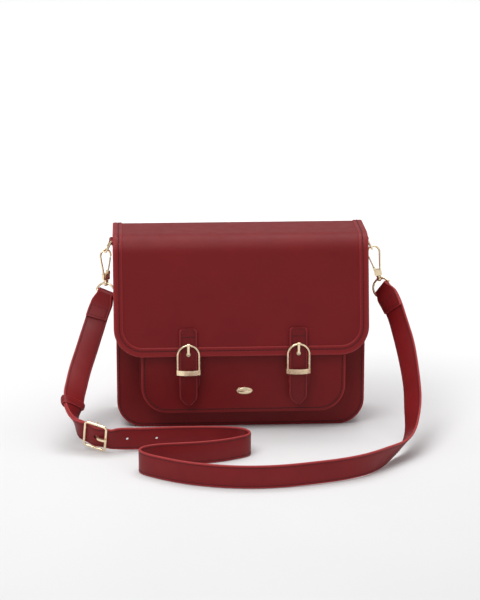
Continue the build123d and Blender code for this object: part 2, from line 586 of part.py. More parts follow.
# ---------------------------------------------------------------- shoulder strap
# centre line and width direction, from the left D-ring round the floor to the right D-ring
STRAP = np.array([
    (-151.3, -0.4, 146.60, -0.875, 0.398, 0.275),
    (-155.0, -1.6, 136.50, -0.885, 0.374, 0.277),
    (-160.4, -6.0, 123.70, -0.924, 0.298, 0.239),
    (-164.9, -12.0, 111.30, -0.952, 0.208, 0.224),
    (-169.4, -20.0, 99.50, -0.954, 0.122, 0.275),
    (-173.7, -30.0, 88.40, -0.948, 0.079, 0.308),
    (-178.2, -42.0, 77.90, -0.942, 0.056, 0.331),
    (-182.1, -56.0, 68.20, -0.945, 0.008, 0.328),
    (-185.3, -72.0, 59.10, -0.924, -0.010, 0.382),
    (-187.9, -87.0, 52.20, -0.881, -0.089, 0.465),
    (-188.3, -99.0, 47.40, -0.797, -0.312, 0.516),
    (-187.6, -109.0, 35.40, -0.277, -0.854, 0.441),
    (-174.0, -118.5, 21.90, 0.191, -0.352, 0.916),
    (-162.7, -123.6, 19.30, 0.049, -0.285, 0.957),
    (-151.3, -128.7, 16.80, 0.087, -0.302, 0.949),
    (-138.0, -128.5, 15.60, 0.076, -0.048, 0.996),
    (-119.0, -124.5, 14.00, 0.072, 0.015, 0.997),
    (-97.0, -120.8, 13.15, 0.023, 0.003, 1.000),
    (-75.0, -118.5, 12.85, 0.009, 0.001, 1.000),
    (-50.0, -118.2, 12.65, 0.004, 0.000, 1.000),
    (-28.0, -119.8, 12.65, -0.001, 0.000, 1.000),
    (-12.0, -122.8, 12.65, 0.000, 0.000, 1.000),
    (-2.0, -127.7, 12.65, 0.000, 0.000, 1.000),
    (3.2, -135.0, 12.65, 0.000, 0.000, 1.000),
    (4.2, -143.5, 12.65, 0.000, 0.000, 1.000),
    (0.0, -150.5, 12.65, 0.000, 0.000, 1.000),
    (-9.0, -156.5, 12.65, 0.000, 0.000, 1.000),
    (-22.0, -163.0, 12.65, 0.000, 0.000, 1.000),
    (-45.0, -170.0, 12.65, 0.000, 0.000, 1.000),
    (-70.0, -173.5, 12.65, 0.000, 0.000, 1.000),
    (-93.0, -176.0, 12.65, 0.000, 0.000, 1.000),
    (-106.0, -180.0, 12.65, 0.000, 0.000, 1.000),
    (-114.0, -186.5, 12.65, 0.000, 0.000, 1.000),
    (-116.0, -194.5, 12.65, 0.000, 0.000, 1.000),
    (-112.0, -203.0, 12.65, 0.000, 0.000, 1.000),
    (-97.0, -216.5, 12.65, 0.000, 0.000, 1.000),
    (-73.0, -232.5, 12.65, 0.000, 0.000, 1.000),
    (-48.0, -243.5, 12.65, 0.000, 0.000, 1.000),
    (-24.0, -250.0, 12.65, -0.001, 0.000, 1.000),
    (5.0, -253.0, 12.65, 0.002, 0.000, 1.000),
    (36.0, -250.5, 12.65, -0.009, -0.001, 1.000),
    (68.0, -244.0, 13.15, -0.010, -0.003, 1.000),
    (102.0, -232.5, 13.25, 0.009, -0.035, 0.999),
    (124.0, -220.0, 13.35, 0.064, -0.067, 0.996),
    (140.8, -203.0, 12.85, 0.177, -0.121, 0.977),
    (152.2, -188.0, 12.55, 0.318, -0.205, 0.926),
    (162.7, -173.0, 13.15, 0.380, -0.431, 0.818),
    (172.9, -160.0, 17.00, 0.413, -0.551, 0.726),
    (179.7, -146.0, 22.90, 0.465, -0.526, 0.712),
    (183.8, -131.0, 31.80, 0.537, -0.522, 0.663),
    (186.4, -113.0, 43.20, 0.663, -0.468, 0.584),
    (187.8, -94.0, 57.60, 0.656, -0.487, 0.576),
    (187.0, -74.0, 75.30, 0.673, -0.477, 0.566),
    (183.6, -51.0, 98.40, 0.717, -0.425, 0.553),
    (179.5, -37.0, 114.40, 0.670, -0.479, 0.568),
    (174.3, -24.0, 130.90, 0.680, -0.391, 0.620),
    (167.7, -12.0, 143.00, 0.725, -0.178, 0.666),
    (163.7, -3.4, 148.60, 0.565, -0.293, 0.771),
])
KEEPER, BAR_L, BAR_C, BAR_R = 10, 12, 13, 14      # rows at the keeper and at the buckle's three bars


def spline(t, y, q):
    """Natural cubic spline through y at t, read at q."""
    n = len(t)
    h = np.diff(t)
    a = np.zeros((n, n))
    b = np.zeros((n, y.shape[1]))
    a[0, 0] = a[-1, -1] = 1
    for i in range(1, n - 1):
        a[i, i - 1], a[i, i], a[i, i + 1] = h[i - 1], 2 * (h[i - 1] + h[i]), h[i]
        b[i] = 6 * ((y[i + 1] - y[i]) / h[i] - (y[i] - y[i - 1]) / h[i - 1])
    m = np.linalg.solve(a, b)
    i = np.clip(np.searchsorted(t, q) - 1, 0, n - 2)
    d, hh, e = (q - t[i])[:, None], h[i][:, None], (t[i + 1] - q)[:, None]
    return (m[i] * e ** 3 / (6 * hh) + m[i + 1] * d ** 3 / (6 * hh)
            + (y[i] / hh - m[i] * hh / 6) * e + (y[i + 1] / hh - m[i + 1] * hh / 6) * d)


ctrl = STRAP[:, :3]
wide = STRAP[:, 3:]
tk = np.concatenate([[0], np.cumsum(np.linalg.norm(np.diff(ctrl, axis=0), axis=1))])
TE = tk[-1]


# the strap lies flat and straight inside the buckle
mid_p = ctrl[BAR_C]
mid_d = (ctrl[BAR_R] - ctrl[BAR_L]) / np.linalg.norm(ctrl[BAR_R] - ctrl[BAR_L])
mid_w = np.array([0.08, -0.30, 0.95])
mid_w = mid_w - (mid_w @ mid_d) * mid_d
mid_w /= np.linalg.norm(mid_w)


def flat_share(q):
    """1 inside the buckle, falling to 0 just outside its two side bars."""
    a = np.clip((q - (tk[BAR_L] - 9)) / 8, 0, 1)
    b = np.clip(((tk[BAR_R] + 10) - q) / 9, 0, 1)
    return ((a * a * (3 - 2 * a)) * (b * b * (3 - 2 * b)))[:, None]


def centre_at(q):
    k = flat_share(q)
    return (1 - k) * spline(tk, ctrl, q) + k * (mid_p + (q - tk[BAR_C])[:, None] * mid_d)


def frame_at(q):
    """Point, direction of travel, width direction and outward direction along the strap."""
    q = np.atleast_1d(np.array(q, float))
    p = centre_at(q)
    d = centre_at(np.clip(q + 0.5, 0, TE)) - centre_at(np.clip(q - 0.5, 0, TE))
    d /= np.linalg.norm(d, axis=1)[:, None]
    k = flat_share(q)
    w = (1 - k) * spline(tk, wide, q) + k * mid_w
    w = w - (w * d).sum(1)[:, None] * d
    w /= np.linalg.norm(w, axis=1)[:, None]
    return p, d, w, np.cross(d, w)


def stations(q0, q1):
    """Cuts along the strap, closer together where it bends."""
    out, q = [], q0
    while q < q1 - 4.5:
        out.append(q)
        _, d, w, _ = frame_at([q, min(q + 8, TE)])
        bend = np.linalg.norm(d[1] - d[0]) + 0.5 * np.linalg.norm(w[1] - w[0])
        q += min(12.0, max(4.5, 2.6 / (bend + 1e-6)))
    return out + [q1]


def profile(q, table):
    """Lower face, upper face and width at q, read from a table."""
    cols = np.array(table, float)
    return [np.interp(q, cols[:, 0], cols[:, k]) for k in (1, 2, 3)]


hl, hh_ = -STRAP_T / 2, STRAP_T / 2
end_block = ((0, -4.2, 4.2, 18.6), (2.5, -4.2, 4.0, 19), (6, -4.1, 3.0, 21.5), (10, -4.0, 1.9, 24.5), (14, -3.95, hh_, STRAP_W), (31, -3.95, hh_, STRAP_W), (31.8, hl, hh_, STRAP_W))
kp, bl, bc, br = tk[KEEPER], tk[BAR_L], tk[BAR_C], tk[BAR_R]
short_table = end_block + ((kp - 40, hl, hh_, STRAP_W), (kp - 16, -2.75, -0.15, STRAP_W), (kp + 12, -2.75, -0.15, STRAP_W), (bl, -3.4, -0.8, STRAP_W), (bc - 9, -3.4, -0.4, STRAP_W), (bc - 5, -3.2, 0.9, STRAP_W), (bc - 2.0, -2.6, 2.1, STRAP_W), (bc + 1.0, -1.9, 2.2, STRAP_W), (bc + 2.6, -1.0, 1.9, STRAP_W))
long_table = ((kp - 13, 0.35, 2.95, 9), (kp - 11, 0.33, 2.93, 16), (kp - 8, 0.3, 2.9, 21.5), (kp - 4, 0.2, 2.8, STRAP_W), (kp + 12, 0.15, 2.75, STRAP_W), (bl - 6, -0.1, 2.5, STRAP_W), (bl, -0.6, 2.0, STRAP_W), (bc - 8, 0.7, 3.3, STRAP_W), (bc - 4, 2.0, 4.6, STRAP_W), (bc - 1.5, 2.65, 5.25, STRAP_W), (bc + 1.5, 2.65, 5.25, STRAP_W), (bc + 4, 2.0, 4.6, STRAP_W), (bc + 8, 0.7, 3.3, STRAP_W), (br, -0.6, 2.0, STRAP_W), (br + 22, hl, hh_, STRAP_W), (TE - 31.8, hl, hh_, STRAP_W)) + tuple((TE - a, b, c, d) for a, b, c, d in reversed(end_block[:-1]))
short_end = bc + 2.6


def ribbon_cuts(q0, q1, table):
    qs = set(stations(q0, q1)) | {row[0] for row in table if q0 <= row[0] <= q1}
    qs = sorted(qs)
    keys = {row[0] for row in table}
    keep = [qs[0]]
    for q in qs[1:]:
        if q - keep[-1] < 2.2 and not (q in keys and (keep[-1] in keys)):
            if q in keys and len(keep) > 1:
                keep[-1] = q
            elif q == qs[-1]:
                keep[-1] = q
            continue
        keep.append(q)
    return keep


RINGS = {}
for side, q, row in (("left", 0.0, 0), ("right", TE, -1)):
    centre = ctrl[row]
    toward = EYES[side] - centre
    ring_r = float(np.linalg.norm(toward))
    toward = toward / ring_r
    wr = frame_at(q)[2][0]
    up = toward - (toward @ wr) * wr          # the ring stands this way from its bar
    up /= np.linalg.norm(up)
    along = wr - (wr @ toward) * toward       # the ring's own direction where it is in the eye
    along /= np.linalg.norm(along)
    RINGS[side] = (centre, wr, up, ring_r, along)

for name, q0, q1, table, fold in (("strap_short", 0.0, short_end, short_table, "left"), ("strap_long", kp - 13, TE, long_table, "right")):
    centre, wr, toward, ring_r, along = RINGS[fold]
    qs = ribbon_cuts(q0, q1, table)
    pts, ds, ws, ns = frame_at(qs)
    with BuildPart() as strap:
        for i, q in enumerate(qs):
            lo, hi, wd = profile(q, table)
            mid = pts[i] + ns[i] * (lo + hi) / 2
            with BuildSketch(Plane(origin=tuple(mid), x_dir=tuple(ws[i]), z_dir=tuple(ds[i]))):
                Rectangle(wd, hi - lo)
        loft(ruled=True)
        # the fold round the ring's bar
        with BuildSketch(Plane(origin=tuple(centre - 9.2 * wr), x_dir=tuple(toward), z_dir=tuple(wr))):
            Circle(4.2)
        extrude(amount=18.4)
        with BuildSketch(Plane(origin=tuple(centre - 20 * wr), x_dir=tuple(toward), z_dir=tuple(wr))):
            Circle(1.6)
        extrude(amount=40, mode=Mode.SUBTRACT)
        p, d, w, n = (v[0] for v in frame_at(bc))
        if name == "strap_short":
            # fold round the buckle's centre bar, slotted for the prong
            with BuildSketch(Plane(origin=tuple(p + 0.4 * n - 20 * w), x_dir=tuple(d), z_dir=tuple(w))):
                Circle(1.18)
            extrude(amount=40, mode=Mode.SUBTRACT)
            with BuildSketch(Plane(origin=tuple(p - 6 * n), x_dir=tuple(d), z_dir=tuple(n))):
                with Locations((1.0, 0)):
                    Rectangle(7.6, 4.2)
            extrude(amount=12, mode=Mode.SUBTRACT)
        else:
            # the slot the prong is in, and two spare holes
            with BuildSketch(Plane(origin=tuple(p - 1 * n), x_dir=tuple(d), z_dir=tuple(n))):
                with Locations((1.9, 0)):
                    SlotOverall(6.6, 3.6)
            extrude(amount=10, mode=Mode.SUBTRACT)
            for dist in (33.0, 66.0):
                p2, d2, w2, n2 = (v[0] for v in frame_at(bc + 2.0 + dist))
                with BuildSketch(Plane(origin=tuple(p2 - 4 * n2), x_dir=tuple(d2), z_dir=tuple(n2))):
                    Circle(1.5)
                extrude(amount=8, mode=Mode.SUBTRACT)
    save(strap.part, name)

KEEPER_OUT = ((-14.8, -4.7), (14.8, -4.7), (14.8, 3.4), (9.2, 7.3), (3.4, 9.5), (-3.4, 9.5), (-9.2, 7.3), (-14.8, 3.4))
KEEPER_IN = ((-13.2, -3.1), (13.2, -3.1), (13.2, 3.5), (8.4, 6.2), (3.1, 7.9), (-3.1, 7.9), (-8.4, 6.2), (-13.2, 3.5))
with BuildPart() as strap_keeper:
    for outline, reach, how in ((KEEPER_OUT, 4.0, Mode.ADD), (KEEPER_IN, 4.6, Mode.SUBTRACT)):
        for step in (-1, -0.33, 0.33, 1):
            p, d, w, n = (v[0] for v in frame_at(kp + step * reach))
            with BuildSketch(Plane(origin=tuple(p), x_dir=tuple(w), z_dir=tuple(d))):
                with BuildLine():
                    Polyline(*outline, close=True)
                make_face()
        loft(ruled=True, mode=how)
save(strap_keeper.part, "strap_keeper")

# buckle frame, centre bar and prong
BK_W, BK_H, BK_WIRE, BK_R = 12.7, 15.25, 1.4, 3.2
p, d, w, n = (v[0] for v in frame_at(bc))
bp = Plane(origin=tuple(p), x_dir=tuple(d), z_dir=tuple(n))
bar_n = 3.6
with BuildPart() as strap_buckle_frame:
    with BuildLine(bp.offset(bar_n)):
        k = BK_R * (1 - sqrt(0.5))
        b0 = Line((BK_W, 0), (BK_W, BK_H - BK_R))
        b1 = ThreePointArc((BK_W, BK_H - BK_R), (BK_W - k, BK_H - k), (BK_W - BK_R, BK_H))
        b2 = Line((BK_W - BK_R, BK_H), (-BK_W + BK_R, BK_H))
        b3 = ThreePointArc((-BK_W + BK_R, BK_H), (-BK_W + k, BK_H - k), (-BK_W, BK_H - BK_R))
        b4 = Line((-BK_W, BK_H - BK_R), (-BK_W, -BK_H + BK_R))
        b5 = ThreePointArc((-BK_W, -BK_H + BK_R), (-BK_W + k, -BK_H + k), (-BK_W + BK_R, -BK_H))
        b6 = Line((-BK_W + BK_R, -BK_H), (BK_W - BK_R, -BK_H))
        b7 = ThreePointArc((BK_W - BK_R, -BK_H), (BK_W - k, -BK_H + k), (BK_W, -BK_H + BK_R))
        b8 = Line((BK_W, -BK_H + BK_R), (BK_W, 0))
    with BuildSketch(Plane(origin=b0 @ 0, z_dir=b0 % 0)):
        Circle(BK_WIRE)
    sweep()
    for sy in (-1, 1):
        with BuildSketch(bp.offset(0.4)):
            with Locations((0, sy * BK_H)):
                Circle(1.2)
        extrude(amount=bar_n - 0.4)
        with Locations(tuple(p + 0.4 * n + sy * BK_H * w)):
            Sphere(1.2)
    with BuildSketch(Plane(origin=tuple(p + 0.4 * n - BK_H * w), x_dir=tuple(d), z_dir=tuple(w))):
        Circle(1.1)
    extrude(amount=2 * BK_H)
save(strap_buckle_frame.part, "strap_buckle_frame")

prong_plane = Plane(origin=tuple(p - 1.3 * w), x_dir=tuple(d), z_dir=tuple(w))
with BuildPart() as strap_prong:
    # local x runs along the strap, local y is inwards
    with BuildSketch(prong_plane):
        with Locations((0, -0.4)):
            Circle(2.0)
        with BuildLine():
            Spline((0.2, -2.0), (1.9, -4.6), (4.6, -7.4), (8.6, -8.0), (12.7, -7.4), (15.2, -6.3))
            Line((15.2, -6.3), (14.9, -5.15))
            Spline((14.9, -5.15), (12.7, -5.2), (8.8, -5.7), (5.6, -5.4), (3.4, -3.2), (1.5, -0.6))
            Line((1.5, -0.6), (0.2, -2.0))
        make_face()
        with Locations((0, -0.4)):
            Circle(1.18, mode=Mode.SUBTRACT)
    extrude(amount=2.6)
save(strap_prong.part, "strap_prong")

# D-rings on the strap ends, each through the eye of its hook's swivel
DR_WIRE = 1.25
for side in ("left", "right"):
    centre, wr, toward, ring_r, along = RINGS[side]
    dp = Plane(origin=tuple(centre), x_dir=tuple(wr), z_dir=tuple(np.cross(wr, toward)))
    with BuildPart() as strap_dring:
        with BuildLine(dp):
            c0 = ThreePointArc((ring_r, 0), (0, ring_r), (-ring_r, 0))
        with BuildSketch(Plane(origin=c0 @ 0, z_dir=c0 % 0)):
            Circle(DR_WIRE)
        sweep()
        with BuildSketch(Plane(origin=tuple(centre - ring_r * wr), x_dir=tuple(toward), z_dir=tuple(wr))):
            Circle(DR_WIRE)
        extrude(amount=2 * ring_r)
        with Locations(tuple(centre + ring_r * wr), tuple(centre - ring_r * wr)):
            Sphere(DR_WIRE)
    save(strap_dring.part, "strap_dring_" + side)

    rivet, ha, hb = HOOKS[side]
    eye = EYES[side]
    with BuildPart() as swivel:
        with Locations(tuple(eye)):
            Sphere(3.2)
        with BuildSketch(Plane(origin=tuple(eye), x_dir=tuple(ha), z_dir=tuple(hb))):
            Circle(POST_R)
        extrude(amount=8.8 - 2.35)
        with BuildSketch(Plane(origin=tuple(eye + 2.6 * hb), x_dir=tuple(ha), z_dir=tuple(hb))):
            Circle(3.0)
        extrude(amount=1.4)
        with BuildSketch(Plane(origin=tuple(eye - 10 * along), z_dir=tuple(along))):
            Circle(1.85)
        extrude(amount=20, mode=Mode.SUBTRACT)
    save(swivel.part, "swivel_" + side)
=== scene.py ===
import math
import bpy
import bmesh
import numpy as np
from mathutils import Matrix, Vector


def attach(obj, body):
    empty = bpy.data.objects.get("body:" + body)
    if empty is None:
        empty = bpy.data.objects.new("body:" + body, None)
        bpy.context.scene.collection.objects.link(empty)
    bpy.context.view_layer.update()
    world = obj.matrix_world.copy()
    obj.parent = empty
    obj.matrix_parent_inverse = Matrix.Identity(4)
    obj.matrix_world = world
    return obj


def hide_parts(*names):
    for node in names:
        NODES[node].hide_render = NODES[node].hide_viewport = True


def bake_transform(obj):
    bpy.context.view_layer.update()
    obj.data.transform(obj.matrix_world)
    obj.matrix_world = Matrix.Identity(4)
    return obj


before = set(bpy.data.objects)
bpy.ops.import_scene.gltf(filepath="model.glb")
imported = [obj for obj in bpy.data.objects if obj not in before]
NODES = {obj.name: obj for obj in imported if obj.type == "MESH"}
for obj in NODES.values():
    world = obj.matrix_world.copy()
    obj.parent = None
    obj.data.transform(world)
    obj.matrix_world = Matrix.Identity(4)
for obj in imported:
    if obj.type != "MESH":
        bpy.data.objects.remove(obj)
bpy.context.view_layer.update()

MM = 0.001
D = bpy.data
COL = bpy.context.scene.collection

# ------------------------------------------------------------------ camera and stage
AZ, EL, DIST = math.radians(-3.0), math.radians(15.0), 2500.0
TARGET = np.array([-1.0, -40.0, 147.0])
BACK = np.array([math.sin(AZ) * math.cos(EL), -math.cos(AZ) * math.cos(EL), math.sin(EL)])


def build_camera():
    cam = D.cameras.new("camera")
    ob = D.objects.new("camera", cam)
    COL.objects.link(ob)
    eye = (TARGET + DIST * BACK) * MM
    ob.location = eye
    ob.rotation_euler = (Vector(TARGET * MM) - Vector(eye)).to_track_quat("-Z", "Y").to_euler()
    cam.sensor_fit = "VERTICAL"
    cam.sensor_height = 36.0
    cam.lens = 36.0 * DIST / (1.12 * 600.0)
    cam.clip_end = 100.0
    bpy.context.scene.camera = ob


def area(name, loc, aim, size, power, colour=(1, 1, 1), spread=180):
    li = D.lights.new(name, "AREA")
    li.shape = "RECTANGLE"
    li.size, li.size_y = size
    li.energy = power
    li.color = colour
    li.spread = math.radians(spread)
    ob = D.objects.new(name, li)
    COL.objects.link(ob)
    ob.location = loc
    ob.rotation_euler = (Vector(aim) - Vector(loc)).to_track_quat("-Z", "Y").to_euler()


# ------------------------------------------------------------------ node helpers
def mat_new(name):
    m = D.materials.new(name)
    m.use_nodes = True
    return m, m.node_tree.nodes, m.node_tree.links, m.node_tree.nodes["Principled BSDF"]


def node(ns, kind, **vals):
    n = ns.new(kind)
    for k, v in vals.items():
        if k.startswith("in_"):
            key = k[3:]
            sock = n.inputs[int(key)] if key.isdigit() else n.inputs[key]
            sock.default_value = v
        else:
            setattr(n, k, v)
    return n


def ramp(ns, stops):
    r = ns.new("ShaderNodeValToRGB")
    els = r.color_ramp.elements
    while len(els) < len(stops):
        els.new(0.5)
    for e, (p, c) in zip(els, stops):
        e.position = p
        e.color = (*c, 1) if len(c) == 3 else c
    return r


def leather(name, dark, light, edge_paint_and_sheen, rough=(0.50, 0.58), grain=95.0, depth=0.00006, coat=0.06):
    """Smooth coated leather: fine pebble, soft mottling, and turned edges mixed towards a lighter colour that is partly
    edge paint and partly painted highlight.
    """
    m, ns, ln, bs = mat_new(name)
    tc = node(ns, "ShaderNodeTexCoord")
    mottle = node(ns, "ShaderNodeTexNoise", in_Scale=2.2, in_Detail=5.0, in_Roughness=0.6)
    ln.new(tc.outputs["UV"], mottle.inputs["Vector"])
    tone = ramp(ns, [(0.30, dark), (0.72, light)])
    ln.new(mottle.outputs["Fac"], tone.inputs["Fac"])
    # the per-vertex edge share mixes in a lighter colour: partly edge paint, partly a painted highlight along rims and
    # ridges
    at = node(ns, "ShaderNodeAttribute", attribute_name="edge_paint_and_sheen")
    mix = node(ns, "ShaderNodeMix", data_type="RGBA")
    ln.new(at.outputs["Fac"], mix.inputs[0])
    ln.new(tone.outputs["Color"], mix.inputs[6])
    mix.inputs[7].default_value = (*edge_paint_and_sheen, 1)
    ln.new(mix.outputs[2], bs.inputs["Base Color"])
    cells = node(ns, "ShaderNodeTexVoronoi", in_Scale=grain, in_Randomness=1.0)
    cells.feature = "SMOOTH_F1"
    ln.new(tc.outputs["UV"], cells.inputs["Vector"])
    fine = node(ns, "ShaderNodeTexNoise", in_Scale=grain * 2.7, in_Detail=3.0)
    ln.new(tc.outputs["UV"], fine.inputs["Vector"])
    add = node(ns, "ShaderNodeMath", operation="MULTIPLY_ADD")
    ln.new(fine.outputs["Fac"], add.inputs[0])
    add.inputs[1].default_value = 0.45
    ln.new(cells.outputs["Distance"], add.inputs[2])
    bump = node(ns, "ShaderNodeBump", in_Strength=0.55, in_Distance=depth)
    ln.new(add.outputs[0], bump.inputs["Height"])
    soft = node(ns, "ShaderNodeTexNoise", in_Scale=7.0, in_Detail=3.0)
    ln.new(tc.outputs["UV"], soft.inputs["Vector"])
    bump2 = node(ns, "ShaderNodeBump", in_Strength=0.14, in_Distance=0.0005)
    ln.new(soft.outputs["Fac"], bump2.inputs["Height"])
    ln.new(bump.outputs["Normal"], bump2.inputs["Normal"])
    ln.new(bump2.outputs["Normal"], bs.inputs["Normal"])
    rr = node(ns, "ShaderNodeMapRange", in_1=0.35, in_2=0.65, in_3=rough[0], in_4=rough[1])
    ln.new(soft.outputs["Fac"], rr.inputs["Value"])
    ln.new(rr.outputs["Result"], bs.inputs["Roughness"])
    bs.inputs["Specular IOR Level"].default_value = 0.20
    bs.inputs["Coat Weight"].default_value = coat
    bs.inputs["Coat Roughness"].default_value = 0.38
    bs.inputs["Sheen Weight"].default_value = 0.02
    bs.inputs["Sheen Roughness"].default_value = 0.5
    return m


def thread(name, dark, light):
    m, ns, ln, bs = mat_new(name)
    tc = node(ns, "ShaderNodeTexCoord")
    wave = node(ns, "ShaderNodeTexWave", in_Scale=2600.0, in_Distortion=1.5)
    ln.new(tc.outputs["Object"], wave.inputs["Vector"])
    tone = ramp(ns, [(0.2, dark), (0.85, light)])
    ln.new(wave.outputs["Fac"], tone.inputs["Fac"])
    ln.new(tone.outputs["Color"], bs.inputs["Base Color"])
    bump = node(ns, "ShaderNodeBump", in_Strength=0.6, in_Distance=0.00008)
    ln.new(wave.outputs["Fac"], bump.inputs["Height"])
    ln.new(bump.outputs["Normal"], bs.inputs["Normal"])
    bs.inputs["Roughness"].default_value = 0.6
    bs.inputs["Specular IOR Level"].default_value = 0.3
    return m


def metal(name, base, worn, rough):
    m, ns, ln, bs = mat_new(name)
    tc = node(ns, "ShaderNodeTexCoord")
    no = node(ns, "ShaderNodeTexNoise", in_Scale=180.0, in_Detail=4.0, in_Roughness=0.55)
    ln.new(tc.outputs["Object"], no.inputs["Vector"])
    tone = ramp(ns, [(0.15, worn), (0.6, base)])
    ln.new(no.outputs["Fac"], tone.inputs["Fac"])
    ln.new(tone.outputs["Color"], bs.inputs["Base Color"])
    rr = node(ns, "ShaderNodeMapRange", in_1=0.3, in_2=0.7, in_3=rough[0], in_4=rough[1])
    ln.new(no.outputs["Fac"], rr.inputs["Value"])
    ln.new(rr.outputs["Result"], bs.inputs["Roughness"])
    scratch = node(ns, "ShaderNodeTexNoise", in_Scale=1400.0, in_Detail=2.0)
    ln.new(tc.outputs["Object"], scratch.inputs["Vector"])
    bump = node(ns, "ShaderNodeBump", in_Strength=0.12, in_Distance=0.00003)
    ln.new(scratch.outputs["Fac"], bump.inputs["Height"])
    ln.new(bump.outputs["Normal"], bs.inputs["Normal"])
    bs.inputs["Metallic"].default_value = 0.86
    return m


def fabric(name, dark, light):
    """A plain weave: crossed fine waves."""
    m, ns, ln, bs = mat_new(name)
    tc = node(ns, "ShaderNodeTexCoord")
    wa = node(ns, "ShaderNodeTexWave", in_Scale=55.0, in_Distortion=0.6)
    wb = node(ns, "ShaderNodeTexWave", in_Scale=55.0, in_Distortion=0.6)
    wa.bands_direction, wb.bands_direction = "X", "Y"
    ln.new(tc.outputs["UV"], wa.inputs["Vector"])
    ln.new(tc.outputs["UV"], wb.inputs["Vector"])
    mu = node(ns, "ShaderNodeMath", operation="MAXIMUM")
    ln.new(wa.outputs["Fac"], mu.inputs[0])
    ln.new(wb.outputs["Fac"], mu.inputs[1])
    tone = ramp(ns, [(0.2, dark), (0.95, light)])
    ln.new(mu.outputs[0], tone.inputs["Fac"])
    ln.new(tone.outputs["Color"], bs.inputs["Base Color"])
    bump = node(ns, "ShaderNodeBump", in_Strength=0.5, in_Distance=0.0001)
    ln.new(mu.outputs[0], bump.inputs["Height"])
    ln.new(bump.outputs["Normal"], bs.inputs["Normal"])
    bs.inputs["Roughness"].default_value = 0.85
    bs.inputs["Sheen Weight"].default_value = 0.2
    return m


# the third colour of each leather is its edge colour: partly edge paint, partly a painted highlight
M_BODY = leather("burgundy_leather", (0.150, 0.0046, 0.0060), (0.172, 0.0058, 0.0073), (0.32, 0.027, 0.029))
M_BIND = leather("burgundy_binding", (0.154, 0.0048, 0.0063), (0.176, 0.0060, 0.0076), (0.32, 0.025, 0.028), rough=(0.44, 0.54))
M_STRAP = leather("burgundy_strap", (0.172, 0.0060, 0.0075), (0.205, 0.0080, 0.0098), (0.40, 0.042, 0.044), rough=(0.42, 0.52))
M_CLOSURE = leather("burgundy_closure", (0.128, 0.0042, 0.0060), (0.152, 0.0056, 0.0076), (0.27, 0.019, 0.024), rough=(0.40, 0.50))
M_THREAD = thread("burgundy_thread", (0.040, 0.0030, 0.0050), (0.080, 0.0070, 0.0100))
# painted shade: a near-black colour for the needle holes, which are dark only from the shadow inside them
M_HOLE_SHADE = thread("stitch_hole_shade", (0.012, 0.002, 0.002), (0.03, 0.004, 0.004))
M_GOLD = metal("gold_plate", (1.0, 0.83, 0.57), (0.96, 0.76, 0.49), (0.17, 0.28))
M_LINING = fabric("lining_weave", (0.030, 0.008, 0.009), (0.085, 0.020, 0.022))
M_BOARD = fabric("stiffener_board", (0.16, 0.13, 0.10), (0.26, 0.22, 0.17))


# ------------------------------------------------------------------ mesh helpers
def make(name, verts, faces, mats, uv=None, edge_paint_and_sheen=None, midx=None, smooth=40.0, slot=None, outward=True):
    me = D.meshes.new(name)
    me.from_pydata((np.asarray(verts, float) * MM).tolist(), [], [tuple(int(i) for i in f) for f in faces])
    me.validate()
    if uv is not None:
        layer = me.uv_layers.new(name="UVMap")
        li = np.zeros(len(me.loops), np.int32)
        me.loops.foreach_get("vertex_index", li)
        layer.data.foreach_set("uv", (np.asarray(uv, float)[li] / 100.0).astype(np.float32).ravel())
    if edge_paint_and_sheen is not None:
        at = me.attributes.new("edge_paint_and_sheen", "FLOAT", "POINT")
        at.data.foreach_set("value", np.asarray(edge_paint_and_sheen, np.float32))
    for m in mats if isinstance(mats, (list, tuple)) else [mats]:
        me.materials.append(m)
    if midx is not None:
        me.polygons.foreach_set("material_index", np.asarray(midx, np.int32))
    if outward:
        bm = bmesh.new()
        bm.from_mesh(me)
        bmesh.ops.recalc_face_normals(bm, faces=bm.faces)
        bm.to_mesh(me)
        bm.free()
    me.shade_smooth()
    if smooth is not None:
        me.set_sharp_from_angle(angle=math.radians(smooth))
    ob = D.objects.new(name, me)
    COL.objects.link(ob)
    return ob


def grid_faces(nu, nv, base=0, close_u=False, close_v=False):
    out = []
    for i in range(nu if close_u else nu - 1):
        for j in range(nv if close_v else nv - 1):
            a, b = i * nv + j, i * nv + (j + 1) % nv
            c, d = ((i + 1) % nu) * nv + (j + 1) % nv, ((i + 1) % nu) * nv + j
            out.append((a + base, b + base, c + base, d + base))
    return out


def slab(name, outer, inner, uv, mats, inner_mat=0, rim=0.0, **kw):
    """A closed sheet between two grids of points."""
    nu, nv = outer.shape[:2]
    n = nu * nv
    verts = np.concatenate([outer.reshape(-1, 3), inner.reshape(-1, 3)])
    top = grid_faces(nu, nv)
    bottom = [f[::-1] for f in grid_faces(nu, nv, n)]
    ring = [j for j in range(nv)] + [i * nv + nv - 1 for i in range(1, nu)] + [(nu - 1) * nv + j for j in range(nv - 2, -1, -1)] + [i * nv for i in range(nu - 2, 0, -1)]
    side = [(ring[k], ring[(k + 1) % len(ring)], ring[(k + 1) % len(ring)] + n, ring[k] + n) for k in range(len(ring))]
    uv2 = np.concatenate([uv.reshape(-1, 2)] * 2)
    midx = [0] * len(top) + [inner_mat] * len(bottom) + [0] * len(side)
    # outline vertices get the lighter edge colour at strength rim: partly edge paint, partly a painted highlight
    # standing in for light on the tiny bevel
    edge_paint_and_sheen = np.zeros(2 * n)
    edge_paint_and_sheen[ring] = rim
    edge_paint_and_sheen[np.array(ring) + n] = rim
    return make(name, verts, top + bottom + side, mats, uv=uv2, midx=midx, edge_paint_and_sheen=edge_paint_and_sheen, **kw)


def bake_modifiers(ob):
    dg = bpy.context.evaluated_depsgraph_get()
    me = D.meshes.new_from_object(ob.evaluated_get(dg))
    me.name = ob.data.name
    ob.modifiers.clear()
    ob.data = me
    return ob


